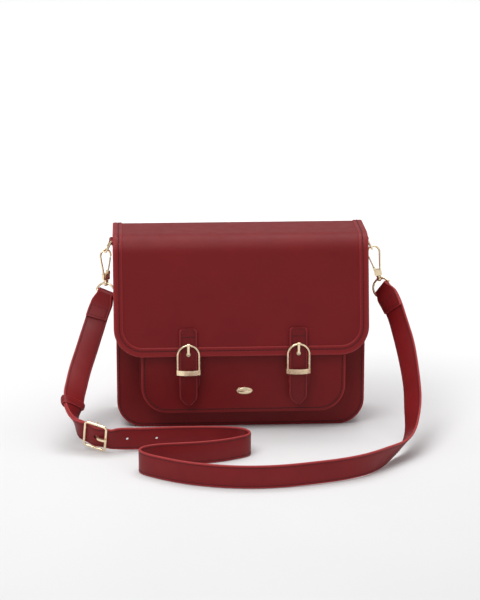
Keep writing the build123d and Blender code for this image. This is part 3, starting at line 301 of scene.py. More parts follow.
def bevel(ob, width=0.45, segments=3, angle=55.0):
    mod = ob.modifiers.new("bevel", "BEVEL")
    mod.width = width * MM
    mod.segments = segments
    mod.limit_method = "ANGLE"
    mod.angle_limit = math.radians(angle)
    bake_modifiers(ob)
    ob.data.shade_smooth()
    ob.data.set_sharp_from_angle(angle=math.radians(50))
    return ob


def panel_grid(hw, z0, z1, r, nz=46, nx=72):
    """A grid over a panel with rounded bottom corners."""
    th = np.linspace(0, np.pi / 2, 16)
    zs = np.concatenate([z0 + r * (1 - np.cos(th)), np.linspace(z0 + r, z1, nz)[1:]])
    hws = np.concatenate([hw - r + r * np.sin(th), np.full(nz - 1, hw)])
    xi = np.sin(np.linspace(-np.pi / 2, np.pi / 2, nx)) * 0.35 + np.linspace(-1, 1, nx) * 0.65
    return hws[:, None] * xi[None, :], zs[:, None] + 0 * xi[None, :]


def u_path(hw, z0, z1, r, step=4.0):
    """Points down one side, round the bottom and up the other side: x, z and the outward normal."""
    n1 = max(2, int((z1 - z0 - r) / step))
    zs = np.linspace(z1, z0 + r, n1)
    th = np.linspace(0, np.pi / 2, max(8, int(r * 1.57 / step) + 2))
    pts = [(-hw, z, -1.0, 0.0) for z in zs]
    pts += [(-(hw - r) - r * np.cos(t), z0 + r - r * np.sin(t), -np.cos(t), -np.sin(t)) for t in th[1:]]
    n2 = max(2, int(2 * (hw - r) / step))
    pts += [(x, z0, 0.0, -1.0) for x in np.linspace(-(hw - r), hw - r, n2)[1:]]
    pts += [((hw - r) + r * np.sin(t), z0 + r - r * np.cos(t), np.sin(t), -np.cos(t)) for t in th[1:]]
    pts += [(hw, z, 1.0, 0.0) for z in zs[::-1][1:]]
    return np.array(pts)


def resample(path, pitch, closed=False):
    """Even points, with tangents, along a polyline of 3-D points in mm."""
    path = np.asarray(path, float)
    seg = np.linalg.norm(np.diff(path, axis=0), axis=1)
    s = np.concatenate([[0], np.cumsum(seg)])
    n = max(1, int(s[-1] / pitch))
    q = (np.arange(n) + 0.5) * s[-1] / n
    pos = np.stack([np.interp(q, s, path[:, k]) for k in range(3)], 1)
    a = np.stack([np.interp(np.clip(q - 0.6, 0, s[-1]), s, path[:, k]) for k in range(3)], 1)
    b = np.stack([np.interp(np.clip(q + 0.6, 0, s[-1]), s, path[:, k]) for k in range(3)], 1)
    t = b - a
    return pos, t / np.linalg.norm(t, axis=1)[:, None], q


SIDES, RINGS = 7, ((-1.0, 0.0), (-0.93, 0.5), (-0.6, 0.95), (0.0, 1.0), (0.6, 0.95), (0.93, 0.5), (1.0, 0.0))


def stitches(name, pos, tan, nor, length=2.5, radius=0.46, sink=0.05, slot="body_leather", hole_shades=True):
    """A row of thread stitches, each a small capsule half sunk in the leather, with a near-black disc at each end as
    painted shade for the needle hole.
    """
    pos, tan, nor = (np.asarray(v, float) for v in (pos, tan, nor))
    nor = nor - (nor * tan).sum(1)[:, None] * tan
    nor /= np.linalg.norm(nor, axis=1)[:, None]
    side = np.cross(tan, nor)
    verts, faces, midx = [], [], []
    ang = np.linspace(0, 2 * np.pi, SIDES, endpoint=False)
    for k in range(len(pos)):
        base = len(verts)
        c = pos[k] - sink * nor[k]
        for u, rr in RINGS:
            dip = -0.22 * u ** 4
            ctr = c + tan[k] * (u * length / 2) + nor[k] * dip
            if rr == 0:
                verts.append(ctr)
            else:
                for a in ang:
                    verts.append(ctr + radius * rr * (np.cos(a) * side[k] + np.sin(a) * nor[k]))
        first, nr = base, len(RINGS) - 2
        for j in range(SIDES):
            faces.append((first, base + 1 + (j + 1) % SIDES, base + 1 + j))
            midx.append(0)
        for r in range(nr - 1):
            o = base + 1 + r * SIDES
            for j in range(SIDES):
                faces.append((o + j, o + (j + 1) % SIDES, o + SIDES + (j + 1) % SIDES, o + SIDES + j))
                midx.append(0)
        o, last = base + 1 + (nr - 1) * SIDES, base + 1 + nr * SIDES
        for j in range(SIDES):
            faces.append((o + j, o + (j + 1) % SIDES, last))
            midx.append(0)
        # painted shade: a small near-black disc on the surface stands in for the shadow inside each needle hole
        if hole_shades:
            for e in (-1, 1):
                hb = len(verts)
                ctr = pos[k] + tan[k] * (e * (length / 2 + 0.22))
                verts.append(ctr + 0.045 * nor[k])
                verts.append(ctr - 0.25 * nor[k])
                for a in ang:
                    verts.append(ctr + 0.02 * nor[k] + 0.62 * (np.cos(a) * side[k] + 0.9 * np.sin(a) * tan[k]))
                for j in range(SIDES):
                    faces.append((hb, hb + 2 + j, hb + 2 + (j + 1) % SIDES))
                    faces.append((hb + 1, hb + 2 + (j + 1) % SIDES, hb + 2 + j))
                    midx += [1, 1]
    return make(name, verts, faces, [M_THREAD, M_HOLE_SHADE], midx=midx, slot=slot, smooth=60, outward=False)


# ------------------------------------------------------------------ bag body
HALF, BW, CR = 40.0, 140.0, 30.0


def wave(x, z, seed):
    """A gentle unevenness, in mm, between about -1 and 1."""
    return (0.5 * np.sin(x / 31.0 + seed) * np.cos(z / 27.0 - 1.3 * seed)
            + 0.3 * np.sin(x / 17.0 - z / 23.0 + 2.1 * seed) + 0.2 * np.cos(z / 11.0 + x / 47.0 + seed))


def body_panel(name, node_name, sign, top):
    X, Z = panel_grid(BW, 0.0, top, CR)
    inside = np.clip((BW - np.abs(X)) / 18.0, 0, 1) * np.clip((Z - 0) / 18.0, 0, 1)
    out = 0.35 * wave(X, Z, 1.0 + sign) * inside
    out = np.minimum(out, 0.35)
    Y = sign * (HALF + out * 0.9)
    Yi = sign * (HALF - 1.8 + 0 * out)
    # rim=0.9 paints the panel's outline lighter: edge paint plus a painted highlight
    ob = slab(name, np.stack([X, Y, Z], 2), np.stack([X, Yi, Z], 2), np.stack([X, Z], 2), M_BODY, rim=0.9, slot="body_leather")
    bevel(ob, 0.5, 3, 60)
    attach(ob, "bag")
    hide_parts(node_name)
    # stitches round the U, 3 mm in
    path = u_path(BW - 3.0, 3.0, top - 4, CR - 3.0, 2.0)
    p3 = np.stack([path[:, 0], np.full(len(path), sign * (HALF + 0.1)), path[:, 1]], 1)
    pos, tan, _ = resample(p3, 3.8)
    st = stitches(name + "_stitches", pos, tan, np.tile([0, sign, 0], (len(pos), 1)), length=2.4)
    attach(st, "bag")
    return ob


body_panel("bag_front", "front_panel", -1, 203.0)
body_panel("bag_back", "back_panel", 1, 207.0)


def top_edge(y):
    ys = [-38.3, -37, -30, -21, 24, 33, 37, 38.3]
    zs = [203.4, 203.6, 209.5, 214.2, 214.2, 211, 207.2, 206.9]
    return np.interp(y, ys, zs)


def u_strip(name, hw, z0, r, t, y0, y1, top, body, repl, mat, slot, sag, uvs=1.0, ny=26, bev=0.4):
    path = u_path(hw, z0, 180.0 if top is None else 180.0, r, 4.0) if not callable(top) and top is None else None
    yy = np.linspace(y0, y1, ny)
    base = u_path(hw, z0, 150.0 if callable(top) else top, r, 4.0)
    n = len(base)
    outer, inner, uv = np.zeros((n, ny, 3)), np.zeros((n, ny, 3)), np.zeros((n, ny, 2))
    seg = np.concatenate([[0], np.cumsum(np.hypot(np.diff(base[:, 0]), np.diff(base[:, 1])))])
    for j, y in enumerate(yy):
        z = base[:, 1].copy()
        if callable(top):
            zt = top(y)
            up = z > z0 + r
            z[up] = z0 + r + (z[up] - z0 - r) * (zt - z0 - r) / (150.0 - z0 - r)
        push = sag(base[:, 0], z, y)
        outer[:, j] = np.stack([base[:, 0] + base[:, 2] * push, np.full(n, y), z + base[:, 3] * push], 1)
        inner[:, j] = np.stack([base[:, 0] + base[:, 2] * (push - t), np.full(n, y), z + base[:, 3] * (push - t)], 1)
        uv[:, j] = np.stack([np.full(n, y), seg], 1)
    ob = slab(name, outer, inner, uv, mat, slot=slot)
    if bev:
        bevel(ob, bev, 2, 60)
    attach(ob, body)
    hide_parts(*repl)
    return ob


def gusset_sag(x, z, y):
    k = np.clip(1 - (y / 38.2) ** 2, 0, 1)
    up = np.clip((z - 25) / 120.0, 0, 1)
    side = (np.abs(x) > 120).astype(float)
    return side * k * up * (-0.9 + 0.5 * np.sin(z / 19.0 + 0.6 * np.sign(x)) * np.cos(y / 21.0)) - side * k * 0.15


u_strip("bag_gusset", 139.0, 0.0, 29.0, 1.8, -38.2, 38.2, top_edge, "bag", ["gusset"], M_BODY, "body_leather", gusset_sag)


def lining_top(y):
    return np.minimum(top_edge(y) - 6, 203.0)


u_strip("bag_lining_gusset", 136.0, 3.9, 25.6, 0.6, -36.3, 36.3, lining_top, "bag", [], M_LINING, "lining_fabric",
        lambda x, z, y: gusset_sag(x, z, y) * 1.0, bev=0)
for name, sign in (("bag_lining_front", -1), ("bag_lining_back", 1)):
    X, Z = panel_grid(136.2, 4.0, 203.0, 25.8, 30, 50)
    Yo = sign * (36.95 + 0 * X)
    Yi = sign * (36.3 + 0.12 * wave(X, Z, 3.0))
    ob = slab(name, np.stack([X, Yo, Z], 2), np.stack([X, Yi, Z], 2), np.stack([X, Z], 2), M_LINING, slot="lining_fabric")
    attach(ob, "bag")
    if sign < 0:
        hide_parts("lining")

# slip pocket inside, with a stitched top edge
X, Z = panel_grid(90.0, 50.0, 160.0, 8.0, 26, 40)
bulge = 0.35 * np.clip((90 - np.abs(X)) / 20, 0, 1) * np.clip((Z - 50) / 20, 0, 1)
slip = slab("bag_slip_pocket", np.stack([X, 35.35 - 0 * bulge, Z], 2), np.stack([X, 36.28 + 0 * X, Z], 2), np.stack([X, Z], 2), M_LINING, slot="lining_fabric")
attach(slip, "bag")
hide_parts("slip_pocket")
rim = [(-90, 35.3, 158.8), (90, 35.3, 158.8)]
pos, tan, _ = resample(rim, 3.6)
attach(stitches("bag_slip_stitches", pos, tan, np.tile([0, -1, 0], (len(pos), 1)), hole_shades=False, slot="lining_fabric"), "bag")

# ------------------------------------------------------------------ front pocket
PX, PW, PZ0, PZ1, PR = 2.0, 114.5, 22.0, 104.0, 30.0
X, Z = panel_grid(PW, PZ0, PZ1, PR, 34, 64)
edge_d = np.minimum(PW - np.abs(X), Z - PZ0)
in_corner = (np.abs(X) > PW - PR) & (Z < PZ0 + PR)
edge_d = np.where(in_corner, PR - np.hypot(np.abs(X) - (PW - PR), Z - (PZ0 + PR)), edge_d)
puff = 0.30 * (1 - np.clip(edge_d / 3.2, 0, 1)) ** 2
Yf = -60.0 + puff
# rim=0.9 paints the pocket's outline lighter: edge paint plus a painted highlight
pk = slab("pocket_face", np.stack([X + PX, Yf, Z], 2), np.stack([X + PX, np.full_like(X, -58.2), Z], 2), np.stack([X, Z], 2), M_BODY, rim=0.9, slot="body_leather")
bevel(pk, 0.55, 3, 60)
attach(pk, "bag")
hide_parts("pocket_front")
path = u_path(PW - 3.8, PZ0 + 3.8, PZ1 - 2, PR - 3.8, 2.0)
p3 = np.stack([path[:, 0] + PX, np.full(len(path), -60.02), path[:, 1]], 1)
pos, tan, _ = resample(p3, 3.9)
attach(stitches("pocket_stitches", pos, tan, np.tile([0, -1, 0], (len(pos), 1)), length=2.5), "bag")


def pocket_sag(x, z, y):
    k = np.sin(np.clip((y + 58.2) / 18.2, 0, 1) * np.pi)
    return k * (0.35 * np.sin(x / 23.0 + z / 13.0) - 0.35)


base = u_path(PW - 1.2, PZ0 + 1.2, 100.0, PR - 1.2, 4.0)
n = len(base)
yy = np.concatenate([np.linspace(-58.2, -43.0, 9), [-42.2, -41.6, -41.2]])
flare = np.concatenate([np.zeros(9), [0.35, 1.1, 2.0]])
extra = [(-41.1, 3.0), (-40.9, 3.55)]
ys = list(yy) + [e[0] for e in extra]
fl = list(flare) + [e[1] for e in extra]
outer, inner, uv = (np.zeros((n, len(ys), k)) for k in (3, 3, 2))
seg = np.concatenate([[0], np.cumsum(np.hypot(np.diff(base[:, 0]), np.diff(base[:, 1])))])
for j, (y, f) in enumerate(zip(ys, fl)):
    push = pocket_sag(base[:, 0], base[:, 1], y) + f
    outer[:, j] = np.stack([base[:, 0] + PX + base[:, 2] * push, np.full(n, y), base[:, 1] + base[:, 3] * push], 1)
    yi = min(y + (1.4 if f > 1.0 else 0.0), -39.95)
    pin = push - (1.5 if f < 1.0 else 0.4)
    inner[:, j] = np.stack([base[:, 0] + PX + base[:, 2] * pin, np.full(n, yi if f > 0.2 else y), base[:, 1] + base[:, 3] * pin], 1)
    uv[:, j] = np.stack([np.full(n, y), seg], 1)
pg = slab("pocket_side", outer, inner, uv, M_BODY, slot="body_leather")
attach(pg, "bag")
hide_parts("pocket_gusset")

# plain domed oval ornament with a fine rim
nu_, nv_ = 9, 48
verts, rings_ = [], ((1.0, 0.0), (1.0, 0.55), (0.965, 0.8), (0.90, 0.85), (0.86, 0.72), (0.78, 0.95), (0.6, 1.35), (0.34, 1.65), (0.10, 1.78))
for rr, h in rings_:
    for a in np.linspace(0, 2 * np.pi, nv_, endpoint=False):
        verts.append((3.0 + 9.0 * rr * np.cos(a), -59.75 - h, 47.0 + 4.0 * rr * np.sin(a)))
faces = grid_faces(nu_, nv_, close_v=True)
verts.append((3.0, -59.75 - 1.8, 47.0))
verts.append((3.0, -59.4, 47.0))
k = (nu_ - 1) * nv_
faces += [(k + j, k + (j + 1) % nv_, nu_ * nv_) for j in range(nv_)] + [((j + 1) % nv_, j, nu_ * nv_ + 1) for j in range(nv_)]
em = make("ornament_oval", verts, faces, M_GOLD, slot="gold_metal", smooth=50)
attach(em, "bag")
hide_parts("emblem_plate")

# ------------------------------------------------------------------ flap
A_T = 2.4
SL = math.radians(11.5)
S1, S2, S3 = 59.0, 59.0 + 11 * math.pi / 2, 59.0 + 11 * math.pi / 2 + 53.4
S4 = S3 + 22.0 * math.radians(78.5)
TY, TZ = -22 + 22 * math.cos(math.radians(168.5)), 198 + 22 * math.sin(math.radians(168.5))
S_END = S4 + (TZ - 89.4) / math.cos(SL)
S_MID = S2 + 30.0


def flap_yz(s, h):
    s, h = np.broadcast_arrays(np.asarray(s, float), np.asarray(h, float))
    y, z = np.zeros(s.shape), np.zeros(s.shape)
    k = s <= S1
    y[k], z[k] = 42.4 + h[k], 150 + s[k]
    k = (s > S1) & (s <= S2)
    f = (s[k] - S1) / 11.0
    y[k], z[k] = 31.4 + (11 + h[k]) * np.cos(f), 209 + (11 + h[k]) * np.sin(f)
    k = (s > S2) & (s <= S3)
    y[k], z[k] = 31.4 - (s[k] - S2), 220 + h[k]
    k = (s > S3) & (s <= S4)
    f = np.pi / 2 + (s[k] - S3) / 22.0
    y[k], z[k] = -22 + (22 + h[k]) * np.cos(f), 198 + (22 + h[k]) * np.sin(f)
    k = s > S4
    y[k] = TY - (s[k] - S4) * math.sin(SL) + h[k] * math.cos(math.radians(168.5))
    z[k] = TZ - (s[k] - S4) * math.cos(SL) + h[k] * math.sin(math.radians(168.5))
    return y, z


def flap_lift(x, s):
    """How far the flap's free end stands off its plain shape."""
    k = np.clip((s - 190) / 85.0, 0, 1) ** 2
    gap = np.minimum(np.abs(x + 60), np.abs(x - 63))
    free = np.clip((gap - 14) / 26.0, 0, 1)
    return k * (0.55 * free * (0.6 + 0.4 * np.sin(x / 29.0)) + 0.0)


def flap_pt(x, s, h):
    x, s, h = np.broadcast_arrays(*(np.asarray(v, float) for v in (x, s, h)))
    y, z = flap_yz(s, h + flap_lift(x, s))
    return np.stack([x, y, z], -1)


FHW, FR = 142.5, 32.0


def flap_rows(s0, s1, inset=0.0, r_low=None, r_high=None, step=3.2):
    """Half widths for rows along the flap, with rounded corners at an end."""
    rows = [(s, FHW - inset) for s in np.linspace(s0, s1, max(3, int((s1 - s0) / step)))]
    if r_high:
        r = r_high - inset
        e = s1
        rows = [q for q in rows if q[0] < e - r]
        rows += [(e - r + r * np.sin(t), FHW - inset - r + r * np.cos(t)) for t in np.linspace(0, np.pi / 2, 18)]
    if r_low:
        r = r_low
        rows = [q for q in rows if q[0] > s0 + r]
        rows = [(s0 + r - r * np.sin(t), FHW - inset - r + r * np.cos(t)) for t in np.linspace(np.pi / 2, 0, 10)] + rows
    return np.array(rows)


def flap_piece(name, rows, h_out, h_in, mat, slot, repl, nx=86, inner_mat=None):
    xi = np.linspace(-1, 1, nx)
    X = rows[:, 1][:, None] * xi[None, :]
    Sg = np.repeat(rows[:, 0][:, None], nx, 1)
    uv = np.stack([X, Sg], 2)
    ob = slab(name, flap_pt(X, Sg, h_out), flap_pt(X, Sg, h_in), uv, mat, slot=slot)
    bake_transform(ob)
    if repl:
        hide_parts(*repl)
    return ob


flap_piece("flap_rear", flap_rows(0.0, S_MID, r_low=14.0), 0.0, -A_T, M_BODY, "body_leather", ["flap_back_leaf"])
flap_piece("flap_face", flap_rows(S_MID, S_END, r_high=FR), 0.0, -A_T, M_BODY, "body_leather", ["flap_crown_panel", "flap_front_panel"])
flap_piece("flap_inner_rear", flap_rows(S2 - 4.0, S_MID, inset=4.0), -A_T, -A_T - 0.55, M_LINING, "lining_fabric", [], nx=50)
flap_piece("flap_inner_face", flap_rows(S_MID, S_END - 4.0, inset=4.0, r_high=FR), -A_T, -A_T - 0.55, M_LINING, "lining_fabric", ["flap_lining"], nx=50)


def edge_path(s_from, s_to, r, front):
    """The flap's edge in its flat shape: x, s and the inward direction."""
    out = []
    if front:
        for s in np.arange(s_from, s_to - r, 2.6):
            out.append((FHW, s, -1.0, 0.0))
        for t in np.linspace(0, np.pi / 2, 20):
            out.append((FHW - r + r * np.cos(t), s_to - r + r * np.sin(t), -np.cos(t), -np.sin(t)))
        for x in np.linspace(FHW - r, -(FHW - r), 92)[1:]:
            out.append((x, s_to, 0.0, -1.0))
        for t in np.linspace(np.pi / 2, 0, 20)[1:]:
            out.append((-(FHW - r) - r * np.cos(t), s_to - r + r * np.sin(t), np.cos(t), -np.sin(t)))
        for s in np.arange(s_from, s_to - r, 2.6)[::-1]:
            out.append((-FHW, s, 1.0, 0.0))
    else:
        for s in np.arange(s_to, s_from + r, -2.6):
            out.append((FHW, s, -1.0, 0.0))
        for t in np.linspace(0, np.pi / 2, 14):
            out.append((FHW - r + r * np.cos(t), s_from + r - r * np.sin(t), -np.cos(t), np.sin(t)))
        for x in np.linspace(FHW - r, -(FHW - r), 80)[1:]:
            out.append((x, s_from, 0.0, 1.0))
        for t in np.linspace(np.pi / 2, 0, 14)[1:]:
            out.append((-(FHW - r) - r * np.cos(t), s_from + r - r * np.sin(t), np.cos(t), np.sin(t)))
        for s in np.arange(s_to, s_from + r, -2.6)[::-1]:
            out.append((-FHW, s, 1.0, 0.0))
    return np.array(out)


BIND = np.array([(10.5, -0.5), (10.5, 0.45), (10.2, 0.85), (9.4, 1.08), (8.2, 1.12), (7.2, 1.02), (6.6, 0.86), (6.3, 0.78), (6.0, 0.86), (5.2, 1.02),
                 (3.8, 1.12), (2.0, 1.08), (0.9, 0.86), (0.2, 0.35), (-0.12, -0.5), (-0.12, -1.7), (0.25, -2.45), (1.1, -2.85), (3.0, -2.95), (5.6, -2.85), (6.2, -2.5), (6.2, -2.0)])
# edge share per binding section point: the step where the binding meets the flap and the ridges beside the stitch
# groove get a painted highlight; the folded rim is partly edge paint, partly painted highlight
BIND_EDGE_AND_SHEEN = np.array([0, .5, .6, .3, .1, .1, 0, 0, 0, .15, .2, .35, .7, 1, 1, 1, .8, .3, 0, 0, 0, 0])


def binding(name, path, repl):
    m, n = len(path), len(BIND)
    pts = np.zeros((m, n, 3))
    uv = np.zeros((m, n, 2))
    seg = np.concatenate([[0], np.cumsum(np.hypot(np.diff(path[:, 0]), np.diff(path[:, 1])))])
    for j, (d, h) in enumerate(BIND):
        x = path[:, 0] + path[:, 2] * d
        s = path[:, 1] + path[:, 3] * d
        pts[:, j] = flap_pt(x, s, h)
        uv[:, j] = np.stack([np.full(m, d + (0 if h > -1.6 else 12)), seg], 1)
    faces = grid_faces(m, n, close_v=True)
    faces += [tuple(range(n)), tuple((m - 1) * n + j for j in range(n))[::-1]]
    ob = make(name, pts.reshape(-1, 3), faces, M_BIND, uv=uv.reshape(-1, 2), edge_paint_and_sheen=np.tile(BIND_EDGE_AND_SHEEN, m), slot="binding_leather", smooth=60)
    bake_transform(ob)
    if repl:
        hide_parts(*repl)
    # stitches
    x = path[:, 0] + path[:, 2] * 6.3
    s = path[:, 1] + path[:, 3] * 6.3
    base_ = flap_pt(x, s, 0.86)
    up = flap_pt(x, s, 1.86) - base_
    pos, tan, q = resample(base_, 4.2)
    sg = np.concatenate([[0], np.cumsum(np.linalg.norm(np.diff(base_, axis=0), axis=1))])
    nor = np.stack([np.interp(q, sg, up[:, k]) for k in range(3)], 1)
    st = stitches(name + "_stitches", pos, tan, nor, length=2.5, radius=0.48, slot="binding_leather")
    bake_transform(st)


binding("flap_binding_face", edge_path(S_MID, S_END, FR, True), ["flap_binding", "flap_crown_binding_left", "flap_crown_binding_right"])
binding("flap_binding_rear", edge_path(0.0, S_MID, 14.0, False), [])


# ------------------------------------------------------------------ leather strips
def ring_section(half, lo, hi, groove=2.7):
    """A flat strap's section, round the outside: (across, up, edge share). Rounded edges, whose edge share gives them a
    lighter colour that is partly burnished edge and partly painted highlight, and a sewing groove each side.
    """
    k = min(1.0, half / 5.0)
    t, c = hi - lo, (hi + lo) / 2
    g, e = groove * k, min(0.75, t * 0.32) * k
    top = [(half - e, hi - 0.03), (half - (g - 0.75 * k), hi), (half - (g - 0.3 * k), hi - 0.05 * k), (half - g, hi - 0.17 * k), (half - (g + 0.3 * k), hi - 0.05 * k), (half - (g + 0.75 * k), hi)]
    mid = [(half * 0.35, hi + 0.02), (0.0, hi + 0.03)]
    left = [(-x, z) for x, z in (top + mid[:1])[::-1]]
    up = top + mid + left
    side_l = [(-half + 0.10 * k, c + t * 0.33), (-half, c + t * 0.12), (-half, c - t * 0.12), (-half + 0.10 * k, c - t * 0.33)]
    low = [(-half + e, lo + 0.03), (-half + g + 0.75 * k, lo), (-half + g, lo + 0.14 * k), (-half + g - 0.6 * k, lo)]
    low = [low[0], low[3], low[2], low[1], (0.0, lo)] + [(half - (g + 0.75 * k), lo), (half - g, lo + 0.14 * k), (half - (g - 0.6 * k), lo), (half - e, lo + 0.03)]
    side_r = [(-x, z) for x, z in side_l[::-1]]
    pts = up + side_l + low + side_r
    # edge share per section point: the rounded sides get the lighter edge colour, partly burnished edge paint, partly a
    # painted highlight
    edge_paint_and_sheen = [0.25] + [0.0] * 13 + [0.25]
    edge_paint_and_sheen = edge_paint_and_sheen[:len(up)]
    edge_paint_and_sheen[0], edge_paint_and_sheen[-1] = 0.75, 0.75
    edge_paint_and_sheen += [0.8, 1.0, 1.0, 0.8] + [0.3] + [0.0] * (len(low) - 2) + [0.3] + [0.8, 1.0, 1.0, 0.8]
    return np.array(pts), np.array(edge_paint_and_sheen)


def ribbon(name, P, T, W, half, lo, hi, mats=None, slot="strap_leather", s=None, groove=2.7):
    P, T, W = (np.asarray(v, float) for v in (P, T, W))
    m = len(P)
    half, lo, hi = (np.broadcast_to(np.asarray(v, float), (m,)) for v in (half, lo, hi))
    N = np.cross(T, W)
    verts, uv, edge_paint_and_sheen = [], [], []
    if s is None:
        s = np.concatenate([[0], np.cumsum(np.linalg.norm(np.diff(P, axis=0), axis=1))])
    for i in range(m):
        sec, ed = ring_section(half[i], lo[i], hi[i], groove)
        verts.append(P[i] + sec[:, :1] * W[i] + sec[:, 1:] * N[i])
        around = np.where(sec[:, 1] < (lo[i] + hi[i]) / 2, 40.0, 0.0)
        uv.append(np.stack([sec[:, 0] + around, np.full(len(sec), s[i])], 1))
        edge_paint_and_sheen.append(ed)
    n = len(verts[0])
    faces = grid_faces(m, n, close_v=True)
    verts = np.concatenate(verts)
    c0, c1 = len(verts), len(verts) + 1
    verts = np.concatenate([verts, [P[0] + N[0] * (lo[0] + hi[0]) / 2], [P[-1] + N[-1] * (lo[-1] + hi[-1]) / 2]])
    faces += [(c0, (j + 1) % n, j) for j in range(n)] + [(c1, (m - 1) * n + j, (m - 1) * n + (j + 1) % n) for j in range(n)]
    uv = np.concatenate(uv + [[[0, s[0]]], [[0, s[-1]]]])
    # the cut ends' centre points also get the lighter edge colour: edge paint plus a painted highlight
    edge_paint_and_sheen = np.concatenate(edge_paint_and_sheen + [[0.8], [0.8]])
    return make(name, verts, faces, mats or M_STRAP, uv=uv, edge_paint_and_sheen=edge_paint_and_sheen, slot=slot, smooth=52)


def cut(ob, cutters, solver="EXACT"):
    for c in cutters:
        mod = ob.modifiers.new("cut", "BOOLEAN")
        mod.operation = "DIFFERENCE"
        mod.solver = solver
        mod.object = c
    bake_modifiers(ob)
    for c in cutters:
        me = c.data
        D.objects.remove(c)
        D.meshes.remove(me)
    ob.data.shade_smooth()
    ob.data.set_sharp_from_angle(angle=math.radians(50))


def prism(name, centre, axis, across, r, length, stretch=0.0, n=20):
    """A round or slot-shaped cutter along axis."""
    centre, axis, across = (np.asarray(v, float) for v in (centre, axis, across))
    axis = axis / np.linalg.norm(axis)
    across = across - (across @ axis) * axis
    across /= np.linalg.norm(across)
    up = np.cross(axis, across)
    ring = []
    for a in np.linspace(0, 2 * np.pi, n, endpoint=False):
        ring.append(across * (r * np.cos(a) + math.copysign(stretch, math.cos(a))) + up * r * np.sin(a))
    verts = [centre - axis * length / 2 + q for q in ring] + [centre + axis * length / 2 + q for q in ring]
    faces = [(j, (j + 1) % n, (j + 1) % n + n, j + n) for j in range(n)] + [tuple(range(n))[::-1], tuple(range(n, 2 * n))]
    return make(name, verts, faces, M_STRAP, smooth=None)


def smooth_path(pts, step=1.6, window=5.0):
    """A polyline resampled evenly with its corners eased."""
    pts = np.asarray(pts, float)
    seg = np.concatenate([[0], np.cumsum(np.linalg.norm(np.diff(pts, axis=0), axis=1))])
    q = np.linspace(0, seg[-1], max(8, int(seg[-1] / step)))
    acc = np.zeros((len(q), pts.shape[1]))
    offs = np.linspace(-1, 1, 9)
    for o in offs:
        w = window * np.minimum(1.0, np.minimum(q, seg[-1] - q) / window)
        acc += np.stack([np.interp(q + o * w, seg, pts[:, k]) for k in range(pts.shape[1])], 1)
    return acc / len(offs)


def tangents(P):
    t = np.gradient(np.asarray(P, float), axis=0)
    return t / np.linalg.norm(t, axis=1)[:, None]


# ------------------------------------------------------------------ closures
def flap_line(off, z):
    y0 = -22 + (22 + off) * math.cos(math.radians(168.5))
    z0 = 198 + (22 + off) * math.sin(math.radians(168.5))
    return y0 - (z0 - z) / math.cos(SL) * math.sin(SL), z


